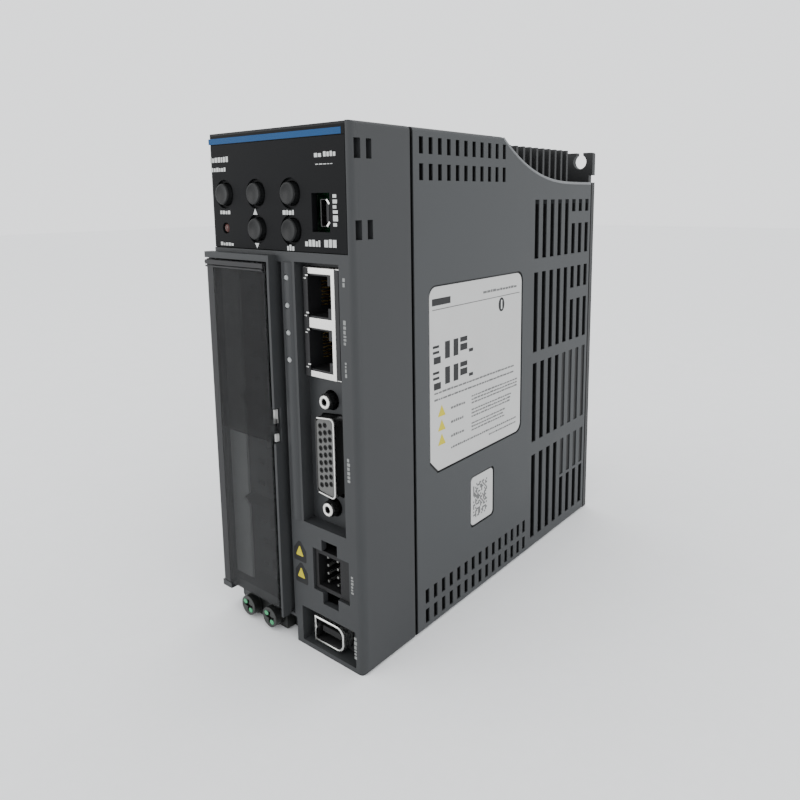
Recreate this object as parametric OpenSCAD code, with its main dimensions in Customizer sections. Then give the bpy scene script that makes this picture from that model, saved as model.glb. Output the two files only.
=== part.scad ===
// Book-format servo drive: a plastic housing and front shell around an
// aluminium heat sink, with a keypad, a row of connectors and a hinged cover
// over the power terminals. It faces -Y, its mounting face looks to +Y, and
// the origin is at the centre of its bottom.

/* [Body] */
// Width across the side walls
body_w = 64; // [60:1:80]
// Height from the standing face to the top wall
body_h = 160; // [156:1:200]
// Depth from the front face to the mounting face
body_d = 146; // [140:1:180]
// Thickness of the moulded walls
wall = 2; // [1.6:0.1:2.6]
// Radius of the long corners of the housing
corner_r = 1.4; // [0.6:0.1:2]
// Gap between pieces that slip together
slip = 0.2; // [0.1:0.05:0.3]

/* [Front shell] */
// Depth of the front shell, up to the seam
bezel_d = 23.6; // [22:0.2:28]
// Width of the dark groove between the front shell and the housing
seam_gap = 1.4; // [1:0.1:2]
// Radius of the two upright front edges
edge_r = 2.4; // [1.5:0.1:2.6]
// Height of the glossy keypad panel and the stripe above it
panel_zone_h = 35.4; // [34:0.2:40]
// Height of the coloured stripe
stripe_h = 3.6; // [2.8:0.1:4]
// Thickness of the keypad panel
panel_t = 2; // [1.8:0.1:2.4]
// Width of the channel that holds the signal connectors
channel_w = 18.2; // [17.6:0.2:22]
// Depth of that channel
channel_d = 4.4; // [4:0.1:5]
// Height of the channel's floor above the standing face
channel_z = 42; // [41.4:0.2:44]
// Width of the round pillar that holds the status lights
pillar_w = 5.6; // [5:0.1:7]
// Height of the step under the terminal bay
foot_h = 8; // [7.6:0.1:10]

/* [Keypad] */
// Diameter of a button cap
button_dia = 6.6; // [5.6:0.1:6.8]
// Gap around a button cap
button_gap = 0.25; // [0.15:0.05:0.35]
// How far a button travels when it is pressed
button_travel = 0.7; // [0.4:0.1:0.9]
// Distance between button columns
button_pitch_x = 15.4; // [14:0.2:16]
// Distance between button rows
button_pitch_z = 10.5; // [10:0.1:11]

/* [Terminal cover] */
// How far the cover stands proud of the front face
door_proud = 3; // [2.8:0.1:3.6]
// Thickness of the cover's sheet
door_t = 1.6; // [1.2:0.1:1.8]
// Diameter of a hinge pin
hinge_pin_dia = 2; // [1.6:0.1:2.2]
// Radial clearance of the cover on its hinge pins
hinge_clear = 0.06; // [0.03:0.01:0.1]
// Width of the terminal bay's mouth
bay_w = 27.4; // [26.6:0.2:30]
// Width of the rim between the terminal bay and the side
bay_rim = 1.7; // [1.6:0.1:2.4]

/* [Connectors] */
// Width of the shielded jack pair, across its depth direction
jack_w = 14.6; // [14:0.1:15.4]
// Height of the jack pair
jack_h = 32.4; // [31:0.1:34]
// Distance between the two jack screws of the signal socket
jackscrew_pitch = 33.3; // [33:0.1:34]
// Pitch of the power terminals
terminal_pitch = 7.5; // [7.2:0.1:7.6]

/* [Heat sink] */
// Thickness of the mounting flange
flange_t = 2.6; // [2:0.1:3]
// How far the flange stops below the top of the body
flange_drop = 2.2; // [1:0.1:4]
// Thickness of a fin
fin_t = 1.4; // [1:0.1:1.8]
// Distance between fins
fin_pitch = 4.8; // [4.4:0.1:6]
// Number of fins
fin_count = 11; // [8:1:11]
// Diameter of the round mounting slots
slot_dia = 6; // [5.2:0.1:7]
// Width of the slots' open necks
neck_w = 3; // [2.4:0.1:3.2]

/* [Fan] */
// Side of the fan's square frame
fan_size = 40; // [38:1:40]
// Height of the fan's frame
fan_h = 15; // [10:1:15]

/* [Hidden] */
$fn = 64;
eps = 0.01;
half_w = body_w / 2;
// Depth 0 is the front face. The cover stands in front of it.
front_y = -(body_d - door_proud) / 2;
inner_x = half_w - wall;
// Housing and flange
housing_d0 = bezel_d + seam_gap;
flange_d0 = body_d - flange_t;
housing_d1 = flange_d0 - 0.8;
flange_top = body_h - flange_drop;
lip_t = 1.2;
lip_in = 2.6;
bulkhead_d = housing_d0 + 48.6;
// Front face, from the top
panel_z0 = body_h - panel_zone_h;
panel_z1 = body_h - stripe_h;
panel_x1 = half_w - edge_r - slip;
panel_x0 = -half_w + slip;
panel_lap = 2.2;
face_d = 7;
// Front face from the left: terminal bay, ridge, groove, pillar and channel.
// The rim on the right takes up what is left of the width.
bay_x0 = bay_rim - half_w;
bay_x1 = bay_x0 + bay_w;
ridge_t = 1;
groove_w = 2.1;
ridge_x0 = bay_x1 + 1.6;
ridge_x1 = ridge_x0 + ridge_t;
pillar_x0 = ridge_x1 + groove_w;
pillar_x1 = pillar_x0 + pillar_w;
channel_x0 = pillar_x1 + slip;
channel_x1 = channel_x0 + channel_w;
channel_top = panel_z0 - 2.8;
channel_skin = 1.6;
connector_x = (channel_x0 + channel_x1) / 2;
bay_z0 = foot_h + 3;
ledge_t = 1.9;
bay_top = panel_z0 - 1.2 - ledge_t;
foot_d = 5;
foot_x1 = pillar_x0 + 0.9;
// Cover and its hinge
door_gap = 0.4;
door_x1 = ridge_x0 - 0.9;
door_z0 = bay_z0 - 0.4;
door_z1 = bay_top - door_gap;
barrel_r = 1.6;
hinge_x = -half_w + barrel_r;
hinge_d = barrel_r - door_proud;
hinge_r = hinge_pin_dia / 2;
pin_bite = 3.6;
knuckle_t = 2;
latch_z = bay_z0 + (bay_top - bay_z0) * 0.545;
latch_h = 11.2;
tab_h = 4.4;
// Keypad
keypad_x = [for (i = [0:2]) panel_x0 + 7.9 + i * button_pitch_x];
keypad_z = [body_h - 18.7, body_h - 18.7 - button_pitch_z];
well_r = button_dia / 2 + 1.1;
well_d = 0.9;
cap_r = button_dia / 2;
cap_d0 = -1.2;
cap_flange_r = cap_r + 0.6;
cap_flange_t = 0.8;
cap_flange_d = panel_t + 0.05;
stem_r = 1.2;
pipe_r = 0.9;
pipe_gap = 0.1;
pipe_count = 4;
pipe_pitch = 8.2;
stem_d1 = 4.6;
switch_d0 = stem_d1 + button_travel + 0.1;
display_board_d = 8;
display_d0 = 3;
display_z = [keypad_z[0] + cap_flange_r + 0.4, panel_z1 - panel_lap - 0.4];
digit_count = 5;
digit_pitch = 7.1;
digit_w = 5.2;
display_x = [panel_x0 + 12.8, panel_x0 + 12.8 + digit_count * digit_pitch + 0.5];
board_t = 1.6;
led_r = 1.5;
led_gap = 0.2;
usb_x = panel_x1 - 9.4;
usb_z = body_h - 24.2;
usb_w = 3.9;
usb_h = 7.7;
usb_sheet = 0.3;
usb_opening_x = [usb_x - usb_w / 2 - 2.1, usb_x + usb_w / 2 + 1];
usb_opening_z = [usb_z - usb_h / 2 - 1.4, usb_z + usb_h / 2 + 1.6];
usb_d0 = 1.3;
usb_tongue_x = 0.5;
usb_tongue_z = 2.6;
// Boards
control_x0 = channel_x1 - 2.3;
control_d0 = 9;
control_d1 = housing_d0 + 45;
power_x0 = bay_x0 + 1.9;
power_x1 = power_x0 + board_t;
power_d1 = flange_d0 - 16;
post_r = 2.5;
screw_r = 1.45;
screw_hole_r = 1.6;
screw_head_r = 2.8;
screw_head_t = 1.8;
board_post_d = [housing_d0 + 7, housing_d0 + 41];
board_post_z = [14, panel_z0 - 10.6];
// Jack pair
jack_d0 = 2.2;
jack_d1 = 22;
jack_x0 = control_x0 - jack_w;
jack_frame_x1 = control_x0 - 1.9;
jack_z1 = channel_top - 1.6;
jack_z0 = jack_z1 - jack_h;
shield_t = 0.35;
port_x = [jack_x0 + 1, jack_frame_x1 - 1.4];
port_depth = 14;
port_edge = 1.8;
port_bar = 3;
port_h = (jack_h - port_bar) / 2 - port_edge;
port_z = [for (i = [0:1]) jack_z0 + port_edge + i * (port_h + port_bar)];
port_notch = 1.6;
contact_count = 8;
contact_pitch = 1.02;
contact_t = 0.4;
// Signal socket
dsub_x = connector_x + 0.2;
dsub_z = channel_z + 22.4;
dsub_flange_d = channel_d + channel_skin + 0.1;
dsub_flange_t = 1;
dsub_flange_w = 12.4;
dsub_flange_h = 39;
dsub_shell_w = 8.2;
dsub_shell_h = 25;
dsub_slant = 0.9;
dsub_d0 = 1;
dsub_sheet = 0.5;
hex_r = 2.5;
jackscrew_d0 = 1.2;
jackscrew_hole_r = 1.12;
jackscrew_hole_d = 4;
// Safety socket
safety_x = [channel_x0 + 3.6, channel_x1 + 0.8];
safety_wall = 1.3;
safety_z = [21, 34.6];
safety_step_x = [safety_x[0] + 4, safety_x[0] + 10.6];
safety_step_h = 3.6;
safety_d0 = 0.8;
safety_d1 = 15.5;
safety_cavity_d = 9;
// Encoder socket
encoder_recess_x = [channel_x0 - 2.2, channel_x1 + 2.8];
encoder_recess_z = [1.6, 13.2];
encoder_recess_d = 5.4;
encoder_w = 13;
encoder_x0 = control_x0 - 1.2 - encoder_w;
encoder_z0 = 2.4;
encoder_h = 8.4;
encoder_d0 = 1.2;
encoder_d1 = 15;
encoder_sheet = 0.6;
// Power terminals
plug_d0 = 3;
plug_d1 = bezel_d - lip_in - 1;
power_d0 = plug_d1 + 0.4;
plug_x1 = bay_x1 - 1.8;
plug_x0 = plug_x1 - 22.6;
plug_ways = [3, 4, 5];
plug_gap = 3.9;
plug_end = 0.75;
function plug_len(i) = plug_ways[i] * terminal_pitch + 2 * plug_end;
function plug_z0(i) = i == 0 ? bay_z0 + 3.8 : plug_z0(i - 1) + plug_len(i - 1) + plug_gap;
entry_w = 5.2;
entry_h = 4.8;
entry_depth = 13;
entry_x = [plug_x1 - 2.6 - entry_w, plug_x1 - 2.6];
release_x = [plug_x1 - 12.4, plug_x1 - 9.6];
release_h = 1.8;
release_depth = 6;
header_t = 6.4;
strip_d = [1.2, 2];
strip_x = [plug_x0 - 2.2, plug_x0 + 6.4];
// Ground terminals
washer_t = 0.8;
washer_r = 3.7;
ground_x = [hinge_x + 10.4, hinge_x + 21.4];
ground_z = 4.2;
ground_head_r = 3.4;
ground_head_t = 2.6;
ground_d0 = -2;
ground_plate_d = ground_d0 + ground_head_t + washer_t;
ground_plate_t = 1.5;
ground_plate_x = [ground_x[0] - 6, ground_x[1] + 5];
ground_plate_z = [0.4, foot_h - slip];
ground_leg_w = 2;
// Heat sink
sink_wall_x1 = power_x1 + 14.3;
sink_wall_t = 3.5;
sink_wall_x0 = sink_wall_x1 - sink_wall_t;
fin_x1 = inner_x - slip - 0.2;
fin_d0 = bulkhead_d + wall + 0.8;
fin_z0 = wall + fan_h + 2;
ear_x = half_w - 5.9;
ear_z = body_h - 5.9;
low_ear_z = 5.9;
// Screws that hold the housing to the flange, in posts on the side walls
sink_post_r = 3;
sink_post_d0 = flange_d0 - 12.6;
sink_screw_l = 11;
sink_screw_x = [sink_post_r - inner_x, inner_x - sink_post_r];
sink_screw_z = [13, body_h - 25];
// Swoop at the top of the rear: a steep start that dies out to a level edge
swoop_d0 = bulkhead_d;
swoop_len = flange_d0 - 13.8 - swoop_d0;
swoop_drop = 14.8;
swoop_power = 2.7;
function swoop_z(d) = body_h - swoop_drop * (1 - pow(max(0, 1 - (d - swoop_d0) / swoop_len), swoop_power));
swoop_steps = 14;
board_top = swoop_z(body_d) - 8;
// Vents
vent_w = 1.9;
vent_h = 4.9;
vent_pitch = 4.55;
vent_rows_top = [body_h - 2.6 - vent_h, body_h - 10.3 - vent_h];
vent_rows_low = [2.4, 9.2];
vent_cols_top = 11;
vent_cols_low = 15;
vent_d0_top = housing_d0 + 2.8;
vent_d0_low = housing_d0 + 4;
vent_web = 1.75;
// Two pairs of slots in each side of the front shell
shell_slot_d = [edge_r - 1.3, edge_r + 3];
shell_slot_z = [body_h - 9.8, body_h - 31.4];
shell_slot_w = 2.1;
shell_slot_h = 5.3;
// Grid: four tiers of tall slots. The rear columns of the upper tiers are split by a bar.
grid_pitch = 5.95;
grid_w = 3;
grid_d0 = housing_d1 - 46.6;
vent_pitch_low = (grid_d0 - vent_web - vent_d0_low) / vent_cols_low;
grid_z = [body_h - 43.4, body_h - 79.4, body_h - 115.4, 4.6];
grid_h = [22, 30.8, 31.6, 34.6];
grid_full_cols = [5, 5, 4, 4];
grid_rear_cols = [3, 3, 0, 4];
grid_bar_z = [12.3, 17];
grid_bar_h = 4.8;
grid_short_h = 17.6;
grid_blind_cols = 4;
grid_blind_depth = 0.4;
grid_blind_gap = 1.2;
// Fan
fan_x = (sink_wall_x1 + fin_x1) / 2;
fan_d = bulkhead_d + 26.9;
fan_bore_r = fan_size / 2 - 1.2;
fan_hub_r = 9;
fan_blade_r = fan_bore_r - 0.7;
fan_shaft_r = 1.5;
fan_shaft_gap = 0.05;
blade_count = 7;
guard_r = fan_bore_r - 0.4;
// Inner parts
cap_body_r = 11;
cap_rows_z = [76, 100];
cap_cols_d = [housing_d0 + 14.4, housing_d0 + 37.2];
module_d = [power_d1 - 39.4, power_d1 + 0.6];
module_z = [58, 104];
pad_t = 0.5;
module_x1 = sink_wall_x0 - pad_t;
module_x0 = module_x1 - 5.6;
label_t = 0.25;
label_pocket = 0.5;
label_margin = 0.6;
label_d = [housing_d0 + 7.4, housing_d0 + 62.2];
label_z = [52.4, 112.4];
code_d = [housing_d0 + 30, housing_d0 + 43.6];
code_z = [25.8, 43.4];
label_r = 3.4;

// ---- Shapes placed by their limits: x across, d depth from the front, z up

module block(x, d, z) {
    translate([x[0], front_y + d[0], z[0]]) cube([x[1] - x[0], d[1] - d[0], z[1] - z[0]]);
}

module rod_x(d, z, r, x) {
    translate([x[0], front_y + d, z]) rotate([0, 90, 0]) cylinder(h = x[1] - x[0], r = r);
}

module rod_y(x, z, r, d) {
    translate([x, front_y + d[1], z]) rotate([90, 0, 0]) cylinder(h = d[1] - d[0], r = r);
}

module rod_z(x, d, r, z) {
    translate([x, front_y + d, z[0]]) cylinder(h = z[1] - z[0], r = r);
}

// An outline drawn as (x, z), made solid between two depths
module slab_y(d) {
    translate([0, front_y + d[1], 0]) rotate([90, 0, 0]) linear_extrude(d[1] - d[0]) children();
}

// An outline drawn as (depth, z), made solid between two x
module slab_x(x) {
    translate([x[0], front_y, 0]) rotate([90, 0, 90]) linear_extrude(x[1] - x[0]) children();
}

// An outline drawn as (x, depth), made solid between two z
module slab_z(z) {
    translate([0, front_y, z[0]]) linear_extrude(z[1] - z[0]) children();
}

module round_rect(u, v, r) {
    translate([u[0] + r, v[0]]) square([u[1] - u[0] - 2 * r, v[1] - v[0]]);
    translate([u[0], v[0] + r]) square([u[1] - u[0], v[1] - v[0] - 2 * r]);
    for (a = [u[0] + r, u[1] - r], b = [v[0] + r, v[1] - r])
        translate([a, b]) circle(r);
}

module mirror_sides() {
    children();
    mirror([1, 0, 0]) children();
}

// ---- Housing

module body_section() {
    round_rect([-half_w, half_w], [0, body_h], corner_r);
}

// The space that the swoop leaves open, over the rear of the body
module swoop_outline(sink = 0) {
    d_end = swoop_d0 + swoop_len;
    polygon(concat(
        [for (i = [0:swoop_steps]) let (d = swoop_d0 + swoop_len * i / swoop_steps) [d, swoop_z(d) - sink]],
        [[body_d + 1, swoop_z(d_end) - sink], [body_d + 1, body_h + 1], [swoop_d0, body_h + 1]]
    ));
}

// A row of upright slots in one side wall, through it unless a depth is given
module vent_row(count, first_d, pitch, width, z, depth = wall + 1) {
    for (i = [0:count - 1])
        block([half_w - depth, half_w + 1], [first_d + i * pitch, first_d + i * pitch + width], z);
}

module small_vents() {
    for (z = vent_rows_top) vent_row(vent_cols_top, vent_d0_top, vent_pitch, vent_w, [z, z + vent_h]);
    for (z = vent_rows_low) vent_row(vent_cols_low, vent_d0_low, vent_pitch_low, vent_w, [z, z + vent_h]);
}

// The rear grid's slots. The rear columns are cut in two by a bar, and are short in the lowest tier.
module rear_grid() {
    for (t = [0:3]) {
        z = [grid_z[t], grid_z[t] + grid_h[t]];
        rear_d0 = grid_d0 + grid_full_cols[t] * grid_pitch;
        vent_row(grid_full_cols[t], grid_d0, grid_pitch, grid_w, z);
        if (t < 2) {
            vent_row(grid_rear_cols[t], rear_d0, grid_pitch, grid_w, [z[0], z[0] + grid_bar_z[t]]);
            vent_row(grid_rear_cols[t], rear_d0, grid_pitch, grid_w, [z[0] + grid_bar_z[t] + grid_bar_h, z[1]]);
        }
    }
    blind_d0 = grid_d0 + grid_full_cols[3] * grid_pitch;
    short_z1 = grid_z[3] + grid_short_h;
    vent_row(grid_rear_cols[3], blind_d0, grid_pitch, grid_w, [grid_z[3], short_z1]);
    // Shallow grooves that carry the pattern on over the solid part of the wall
    for (z = [[grid_z[2], grid_z[2] + grid_h[2]], [short_z1 + grid_blind_gap, grid_z[3] + grid_h[3]]])
        vent_row(grid_blind_cols, blind_d0, grid_pitch, grid_w, z, grid_blind_depth);
}

module label_pockets() {
    slab_x([half_w - label_pocket, half_w + 1]) label_outline(label_margin);
    slab_x([half_w - label_pocket, half_w + 1]) code_outline(label_margin);
}

module corner_posts(r, d) {
    for (x = sink_screw_x, z = sink_screw_z) rod_y(x, z, r, d);
}

module housing_shell() {
    difference() {
        slab_y([housing_d0, housing_d1]) body_section();
        block([-inner_x, inner_x], [housing_d0 - 1, housing_d1 + 1], [wall, body_h - wall]);
        slab_x([-half_w - 1, half_w + 1]) swoop_outline();
    }
}

// Inner lip that the front shell slides over
module seam_lip() {
    difference() {
        union() {
            block([-inner_x, inner_x], [housing_d0, housing_d0 + 3], [wall, body_h - wall]);
            block([slip - inner_x, inner_x - slip], [bezel_d - lip_in, housing_d0 + eps],
                  [wall + slip, body_h - wall - slip]);
        }
        block([lip_t - inner_x, inner_x - lip_t], [0, body_d], [wall + lip_t, body_h - wall - lip_t]);
    }
}

// Wall between the electronics and the fin duct, and the roof that follows
// the swoop over the power side
module inner_walls() {
    block([sink_wall_x0, inner_x], [bulkhead_d, bulkhead_d + wall], [wall, body_h - wall + eps]);
    intersection() {
        difference() {
            slab_x([-half_w, sink_wall_x0 - slip]) swoop_outline(wall);
            slab_x([-half_w - 1, half_w]) swoop_outline();
        }
        block([-half_w, half_w], [0, housing_d1], [0, body_h - corner_r]);
    }
    corner_posts(sink_post_r, [sink_post_d0, housing_d1]);
    for (z = sink_screw_z) mirror_sides()
        block([inner_x - sink_post_r, inner_x + eps], [sink_post_d0, housing_d1],
              [z - sink_post_r, z + sink_post_r]);
}

module main_housing() {
    color("#5a5c5e") difference() {
        union() {
            housing_shell();
            seam_lip();
            inner_walls();
        }
        small_vents();
        mirror([1, 0, 0]) small_vents();
        rear_grid();
        label_pockets();
        corner_posts(screw_r, [flange_d0 - sink_screw_l, housing_d1 + 1]);
        rod_z(fan_x, fan_d, fan_bore_r, [-1, wall + 1]);
    }
}

// ---- Front shell

module shell_plan() {
    difference() {
        translate([-half_w, 0]) square([body_w, bezel_d]);
        for (s = [-1, 1]) translate([s * (half_w - edge_r), edge_r]) difference() {
            translate([s > 0 ? 0 : -edge_r - 1, -edge_r - 1]) square([edge_r + 1, edge_r + 1]);
            circle(edge_r);
        }
    }
}

module shell_block() {
    intersection() {
        slab_z([0, body_h]) shell_plan();
        slab_y([0, bezel_d]) body_section();
    }
}

module shell_side_slots() {
    for (z = shell_slot_z, d = shell_slot_d)
        block([inner_x - 1, half_w + 1], [d, d + shell_slot_w], [z, z + shell_slot_h]);
}

module shell_hollows() {
    // Inside, behind the face
    block([-inner_x, inner_x], [face_d, bezel_d + 1], [wall, body_h - wall]);
    block([channel_x0 + 1.8, inner_x], [wall, face_d + 1], [encoder_recess_z[1] + wall, channel_z - wall]);
    // Seat of the keypad panel, and the opening behind it
    block([-half_w - 1, panel_x1 + slip], [-1, panel_t], [panel_z0, body_h + 1]);
    block([panel_lap - inner_x, panel_x1 - panel_lap], [0, face_d + 1],
          [panel_z0 + panel_lap, panel_z1 - panel_lap]);
    // Connector channel
    block([channel_x0, channel_x1], [-1, channel_d], [channel_z, channel_top]);
    // Groove beside the pillar
    block([ridge_x1, pillar_x0], [-1, 4.5], [foot_h + 1, bay_top]);
    // Step under the terminal bay
    block([-half_w - 1, foot_x1], [-1, foot_d], [-1, foot_h]);
    // Terminal bay
    block([bay_x0, bay_x1], [-1, bezel_d + 1], [bay_z0, bay_top]);
    // Room for the cover's barrel
    block([-half_w - 1, bay_x0 + 1], [-1, 0.6], [bay_z0 - 0.8, bay_top]);
    // Safety opening with a step above and below
    block(safety_x, [-1, face_d], safety_z);
    block(safety_step_x, [-1, face_d], [safety_z[0] - safety_step_h, safety_z[1] + safety_step_h]);
    // Encoder recess
    block(encoder_recess_x, [-1, encoder_recess_d], encoder_recess_z);
    slab_y([0, face_d + 1]) encoder_outline(slip);
    // Jack pair, signal socket and jack screws
    block([jack_x0 - slip, control_x0 + slip], [0, face_d + 1], [jack_z0 - slip, jack_z1 + slip]);
    slab_y([0, dsub_flange_d + eps]) dsub_outline(0.5);
    block([dsub_x - dsub_flange_w / 2 - 0.4, dsub_x + dsub_flange_w / 2 + 0.4],
          [channel_d + channel_skin, face_d + 1],
          [dsub_z - dsub_flange_h / 2 - 0.5, dsub_z + dsub_flange_h / 2 + 0.5]);
    for (s = [-1, 1]) rod_y(dsub_x, dsub_z + s * jackscrew_pitch / 2, hex_r + 0.6, [0, face_d]);
    // Status light pipes
    for (z = status_z()) rod_y(status_x(), z, pipe_r + pipe_gap, [-1, face_d + 1]);
    mirror_sides() shell_side_slots();
}

function status_x() = pillar_x0 + pillar_w / 2;
function status_z() = [for (i = [0:pipe_count - 1]) panel_z0 - 7.6 - i * pipe_pitch];

// Ledge over the cover, ridge beside it and the lower hinge knuckle
module door_surround() {
    difference() {
        union() {
            block([-half_w, ridge_x1], [-door_proud, eps], [bay_top, bay_top + ledge_t]);
            block([ridge_x0, ridge_x1], [-door_proud, eps], [foot_h, bay_top + eps]);
            block([-half_w, hinge_x + 3], [-door_proud, eps],
                  [door_z0 - door_gap - knuckle_t, door_z0 - door_gap]);
        }
        block([ridge_x0 - 1, ridge_x1 + 1], [-door_proud - 1, -0.6],
              [latch_z - latch_h / 2, latch_z + latch_h / 2]);
        rod_z(hinge_x, hinge_d, hinge_r + 0.03, [0, body_h]);
    }
}

module front_shell() {
    color("#505254") union() {
        difference() {
            shell_block();
            shell_hollows();
        }
        door_surround();
        // Walls that carry the bay back to the boards
        difference() {
            block([bay_x0 - 0.2, bay_x1 + 1.6], [face_d - eps, power_d0], [bay_z0 - 1.6, bay_top + 1.6]);
            block([bay_x0, bay_x1], [0, body_d], [bay_z0, bay_top]);
        }
        pillar_nose();
    }
}

// The pillar's front is half round, in front of its flat face
module pillar_nose() {
    nose = pillar_w / 2;
    nose_proud = 0.8;
    difference() {
        intersection() {
            rod_z(status_x(), nose - nose_proud, nose, [channel_z, bay_top]);
            block([pillar_x0, pillar_x1], [-nose_proud, 0.3], [channel_z, bay_top]);
        }
        for (z = status_z()) rod_y(status_x(), z, pipe_r + pipe_gap, [-2, 2]);
    }
}

module accent_stripe() {
    color("#2b7fb4") difference() {
        block([panel_x0, panel_x1], [0, panel_t - slip], [panel_z1 + 0.05, body_h]);
        translate([0, front_y, body_h]) rotate([45, 0, 0]) cube([body_w * 2, 1.2, 1.2], center = true);
        slab_z([0, body_h + 1]) difference() {
            translate([-half_w - 1, -1]) square([edge_r + 1, edge_r + 1]);
            translate([edge_r - half_w, edge_r]) circle(edge_r - slip);
        }
    }
}

// ---- Keypad

// The cells that hold a key. The first column's second row holds the charge light.
KEY_CELLS = [[0, 0], [1, 0], [2, 0], [1, 1], [2, 1]];

module keypad_panel() {
    color("#1c1d1f") difference() {
        block([panel_x0, panel_x1], [0, panel_t], [panel_z0 + slip, panel_z1]);
        slab_z([0, body_h]) difference() {
            translate([-half_w - 1, -1]) square([edge_r + 1, edge_r + 1]);
            translate([edge_r - half_w, edge_r]) circle(edge_r - slip);
        }
        for (key = KEY_CELLS) {
            rod_y(keypad_x[key[0]], keypad_z[key[1]], well_r, [-1, well_d]);
            rod_y(keypad_x[key[0]], keypad_z[key[1]], cap_r + button_gap, [-1, panel_t + 1]);
        }
        rod_y(keypad_x[0], keypad_z[1], led_r + led_gap, [-1, panel_t + 1]);
        block(usb_opening_x, [-1, panel_t + 1], usb_opening_z);
    }
}

// One key: a round cap, a flange that keeps it behind the panel, and a stem
module key_cap(column, row) {
    x = keypad_x[column];
    z = keypad_z[row];
    color("#2c2d30") union() {
        rod_y(x, z, cap_r, [cap_d0, cap_flange_d + eps]);
        rod_y(x, z, cap_flange_r, [cap_flange_d, cap_flange_d + cap_flange_t]);
        rod_y(x, z, stem_r, [cap_flange_d + cap_flange_t - eps, stem_d1]);
    }
}

module button_mode() { key_cap(0, 0); }
module button_up() { key_cap(1, 0); }
module button_shift() { key_cap(2, 0); }
module button_down() { key_cap(1, 1); }
module button_set() { key_cap(2, 1); }

module charge_light() {
    color("#5c2a20") rod_y(keypad_x[0], keypad_z[1], led_r, [0.4, display_board_d]);
}

module status_light_pipes() {
    color("#c8ccc4") for (z = status_z()) rod_y(status_x(), z, pipe_r, [-0.75, face_d + 3]);
}

module segment_display() {
    digit_x0 = display_x[0] + 1.4;
    color("#3a1512") difference() {
        block(display_x, [display_d0, display_board_d], display_z);
        for (i = [0:digit_count - 1])
            block([digit_x0 + i * digit_pitch, digit_x0 + i * digit_pitch + digit_w],
                  [display_d0 - 1, display_d0 + 0.3], [display_z[0] + 0.8, display_z[1] - 0.8]);
    }
}

module display_board() {
    gap = panel_lap + 0.4;
    color("#2d6a45") block([gap - inner_x, panel_x1 - gap], [display_board_d, display_board_d + board_t],
        [panel_z0 + gap, panel_z1 - gap]);
}

module key_switches() {
    half = 2.2;
    plunger = 0.6;
    color("#b9bcc0") for (key = KEY_CELLS) {
        x = keypad_x[key[0]];
        z = keypad_z[key[1]];
        block([x - half, x + half], [switch_d0 + plunger, display_board_d], [z - half, z + half]);
        rod_y(x, z, half / 2, [switch_d0, switch_d0 + plunger + eps]);
    }
}

module usb_shell() {
    color("#c9ccd0") difference() {
        block([usb_x - usb_w / 2, usb_x + usb_w / 2], [usb_d0, display_board_d],
              [usb_z - usb_h / 2, usb_z + usb_h / 2]);
        block([usb_x - usb_w / 2 + usb_sheet, usb_x + usb_w / 2 - usb_sheet], [0, display_board_d - 0.6],
              [usb_z - usb_h / 2 + usb_sheet, usb_z + usb_h / 2 - usb_sheet]);
    }
}

module usb_tongue() {
    color("#202124") block([usb_x - usb_tongue_x, usb_x + usb_tongue_x], [usb_d0 + 0.9, display_board_d - 0.6],
        [usb_z - usb_tongue_z, usb_z + usb_tongue_z]);
}

// ---- Jack pair

module jack_shield() {
    color("#c9ccd0") difference() {
        block([jack_x0, control_x0], [jack_d0, jack_d1], [jack_z0, jack_z1]);
        block([jack_x0 + shield_t, control_x0 - shield_t], [jack_d0 + shield_t, jack_d1 + 1],
              [jack_z0 + shield_t, jack_z1 - shield_t]);
        for (z = port_z) block(port_x, [0, jack_d0 + 1], [z, z + port_h]);
        block([jack_frame_x1, control_x0 + 1], [0, jack_d0 + shield_t], [0, body_h]);
    }
}

module jack_insert() {
    color("#1d1e20") difference() {
        union() {
            block([jack_x0 + shield_t, control_x0 - shield_t], [jack_d0 + shield_t, jack_d1],
                  [jack_z0 + shield_t, jack_z1 - shield_t]);
            // Strip beside the shield's front frame
            block([jack_frame_x1, control_x0 - shield_t], [jack_d0 + 0.1, jack_d0 + shield_t + eps],
                  [jack_z0 + shield_t, jack_z1 - shield_t]);
        }
        for (z = port_z) {
            block([port_x[0], port_x[1] - port_notch], [0, jack_d0 + port_depth], [z + 0.5, z + port_h - 0.5]);
            block([port_x[0], port_x[1]], [0, jack_d0 + port_depth], [z + 3.2, z + port_h - 3.2]);
        }
    }
}

module jack_contacts() {
    color("#c9a24a") for (z = port_z, i = [0:contact_count - 1])
        translate([port_x[0], front_y + jack_d0 + 6,
                   z + port_h / 2 + (i - (contact_count - 1) / 2) * contact_pitch - contact_t / 2])
            linear_extrude(contact_t) polygon([[0, 0], [2.2, 7.2], [2.2, 7.6], [0, 7.6]]);
}

// ---- Signal socket

// D-shaped outline, narrower on the side away from the board
module dsub_outline(grow) {
    w = dsub_shell_w / 2 + grow;
    h = dsub_shell_h / 2 + grow;
    polygon([
        [dsub_x - w, dsub_z - h + dsub_slant + 0.8], [dsub_x - w + 0.8, dsub_z - h + dsub_slant],
        [dsub_x + w - 0.8, dsub_z - h], [dsub_x + w, dsub_z - h + 0.8],
        [dsub_x + w, dsub_z + h - 0.8], [dsub_x + w - 0.8, dsub_z + h],
        [dsub_x - w + 0.8, dsub_z + h - dsub_slant], [dsub_x - w, dsub_z + h - dsub_slant - 0.8]
    ]);
}

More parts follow.
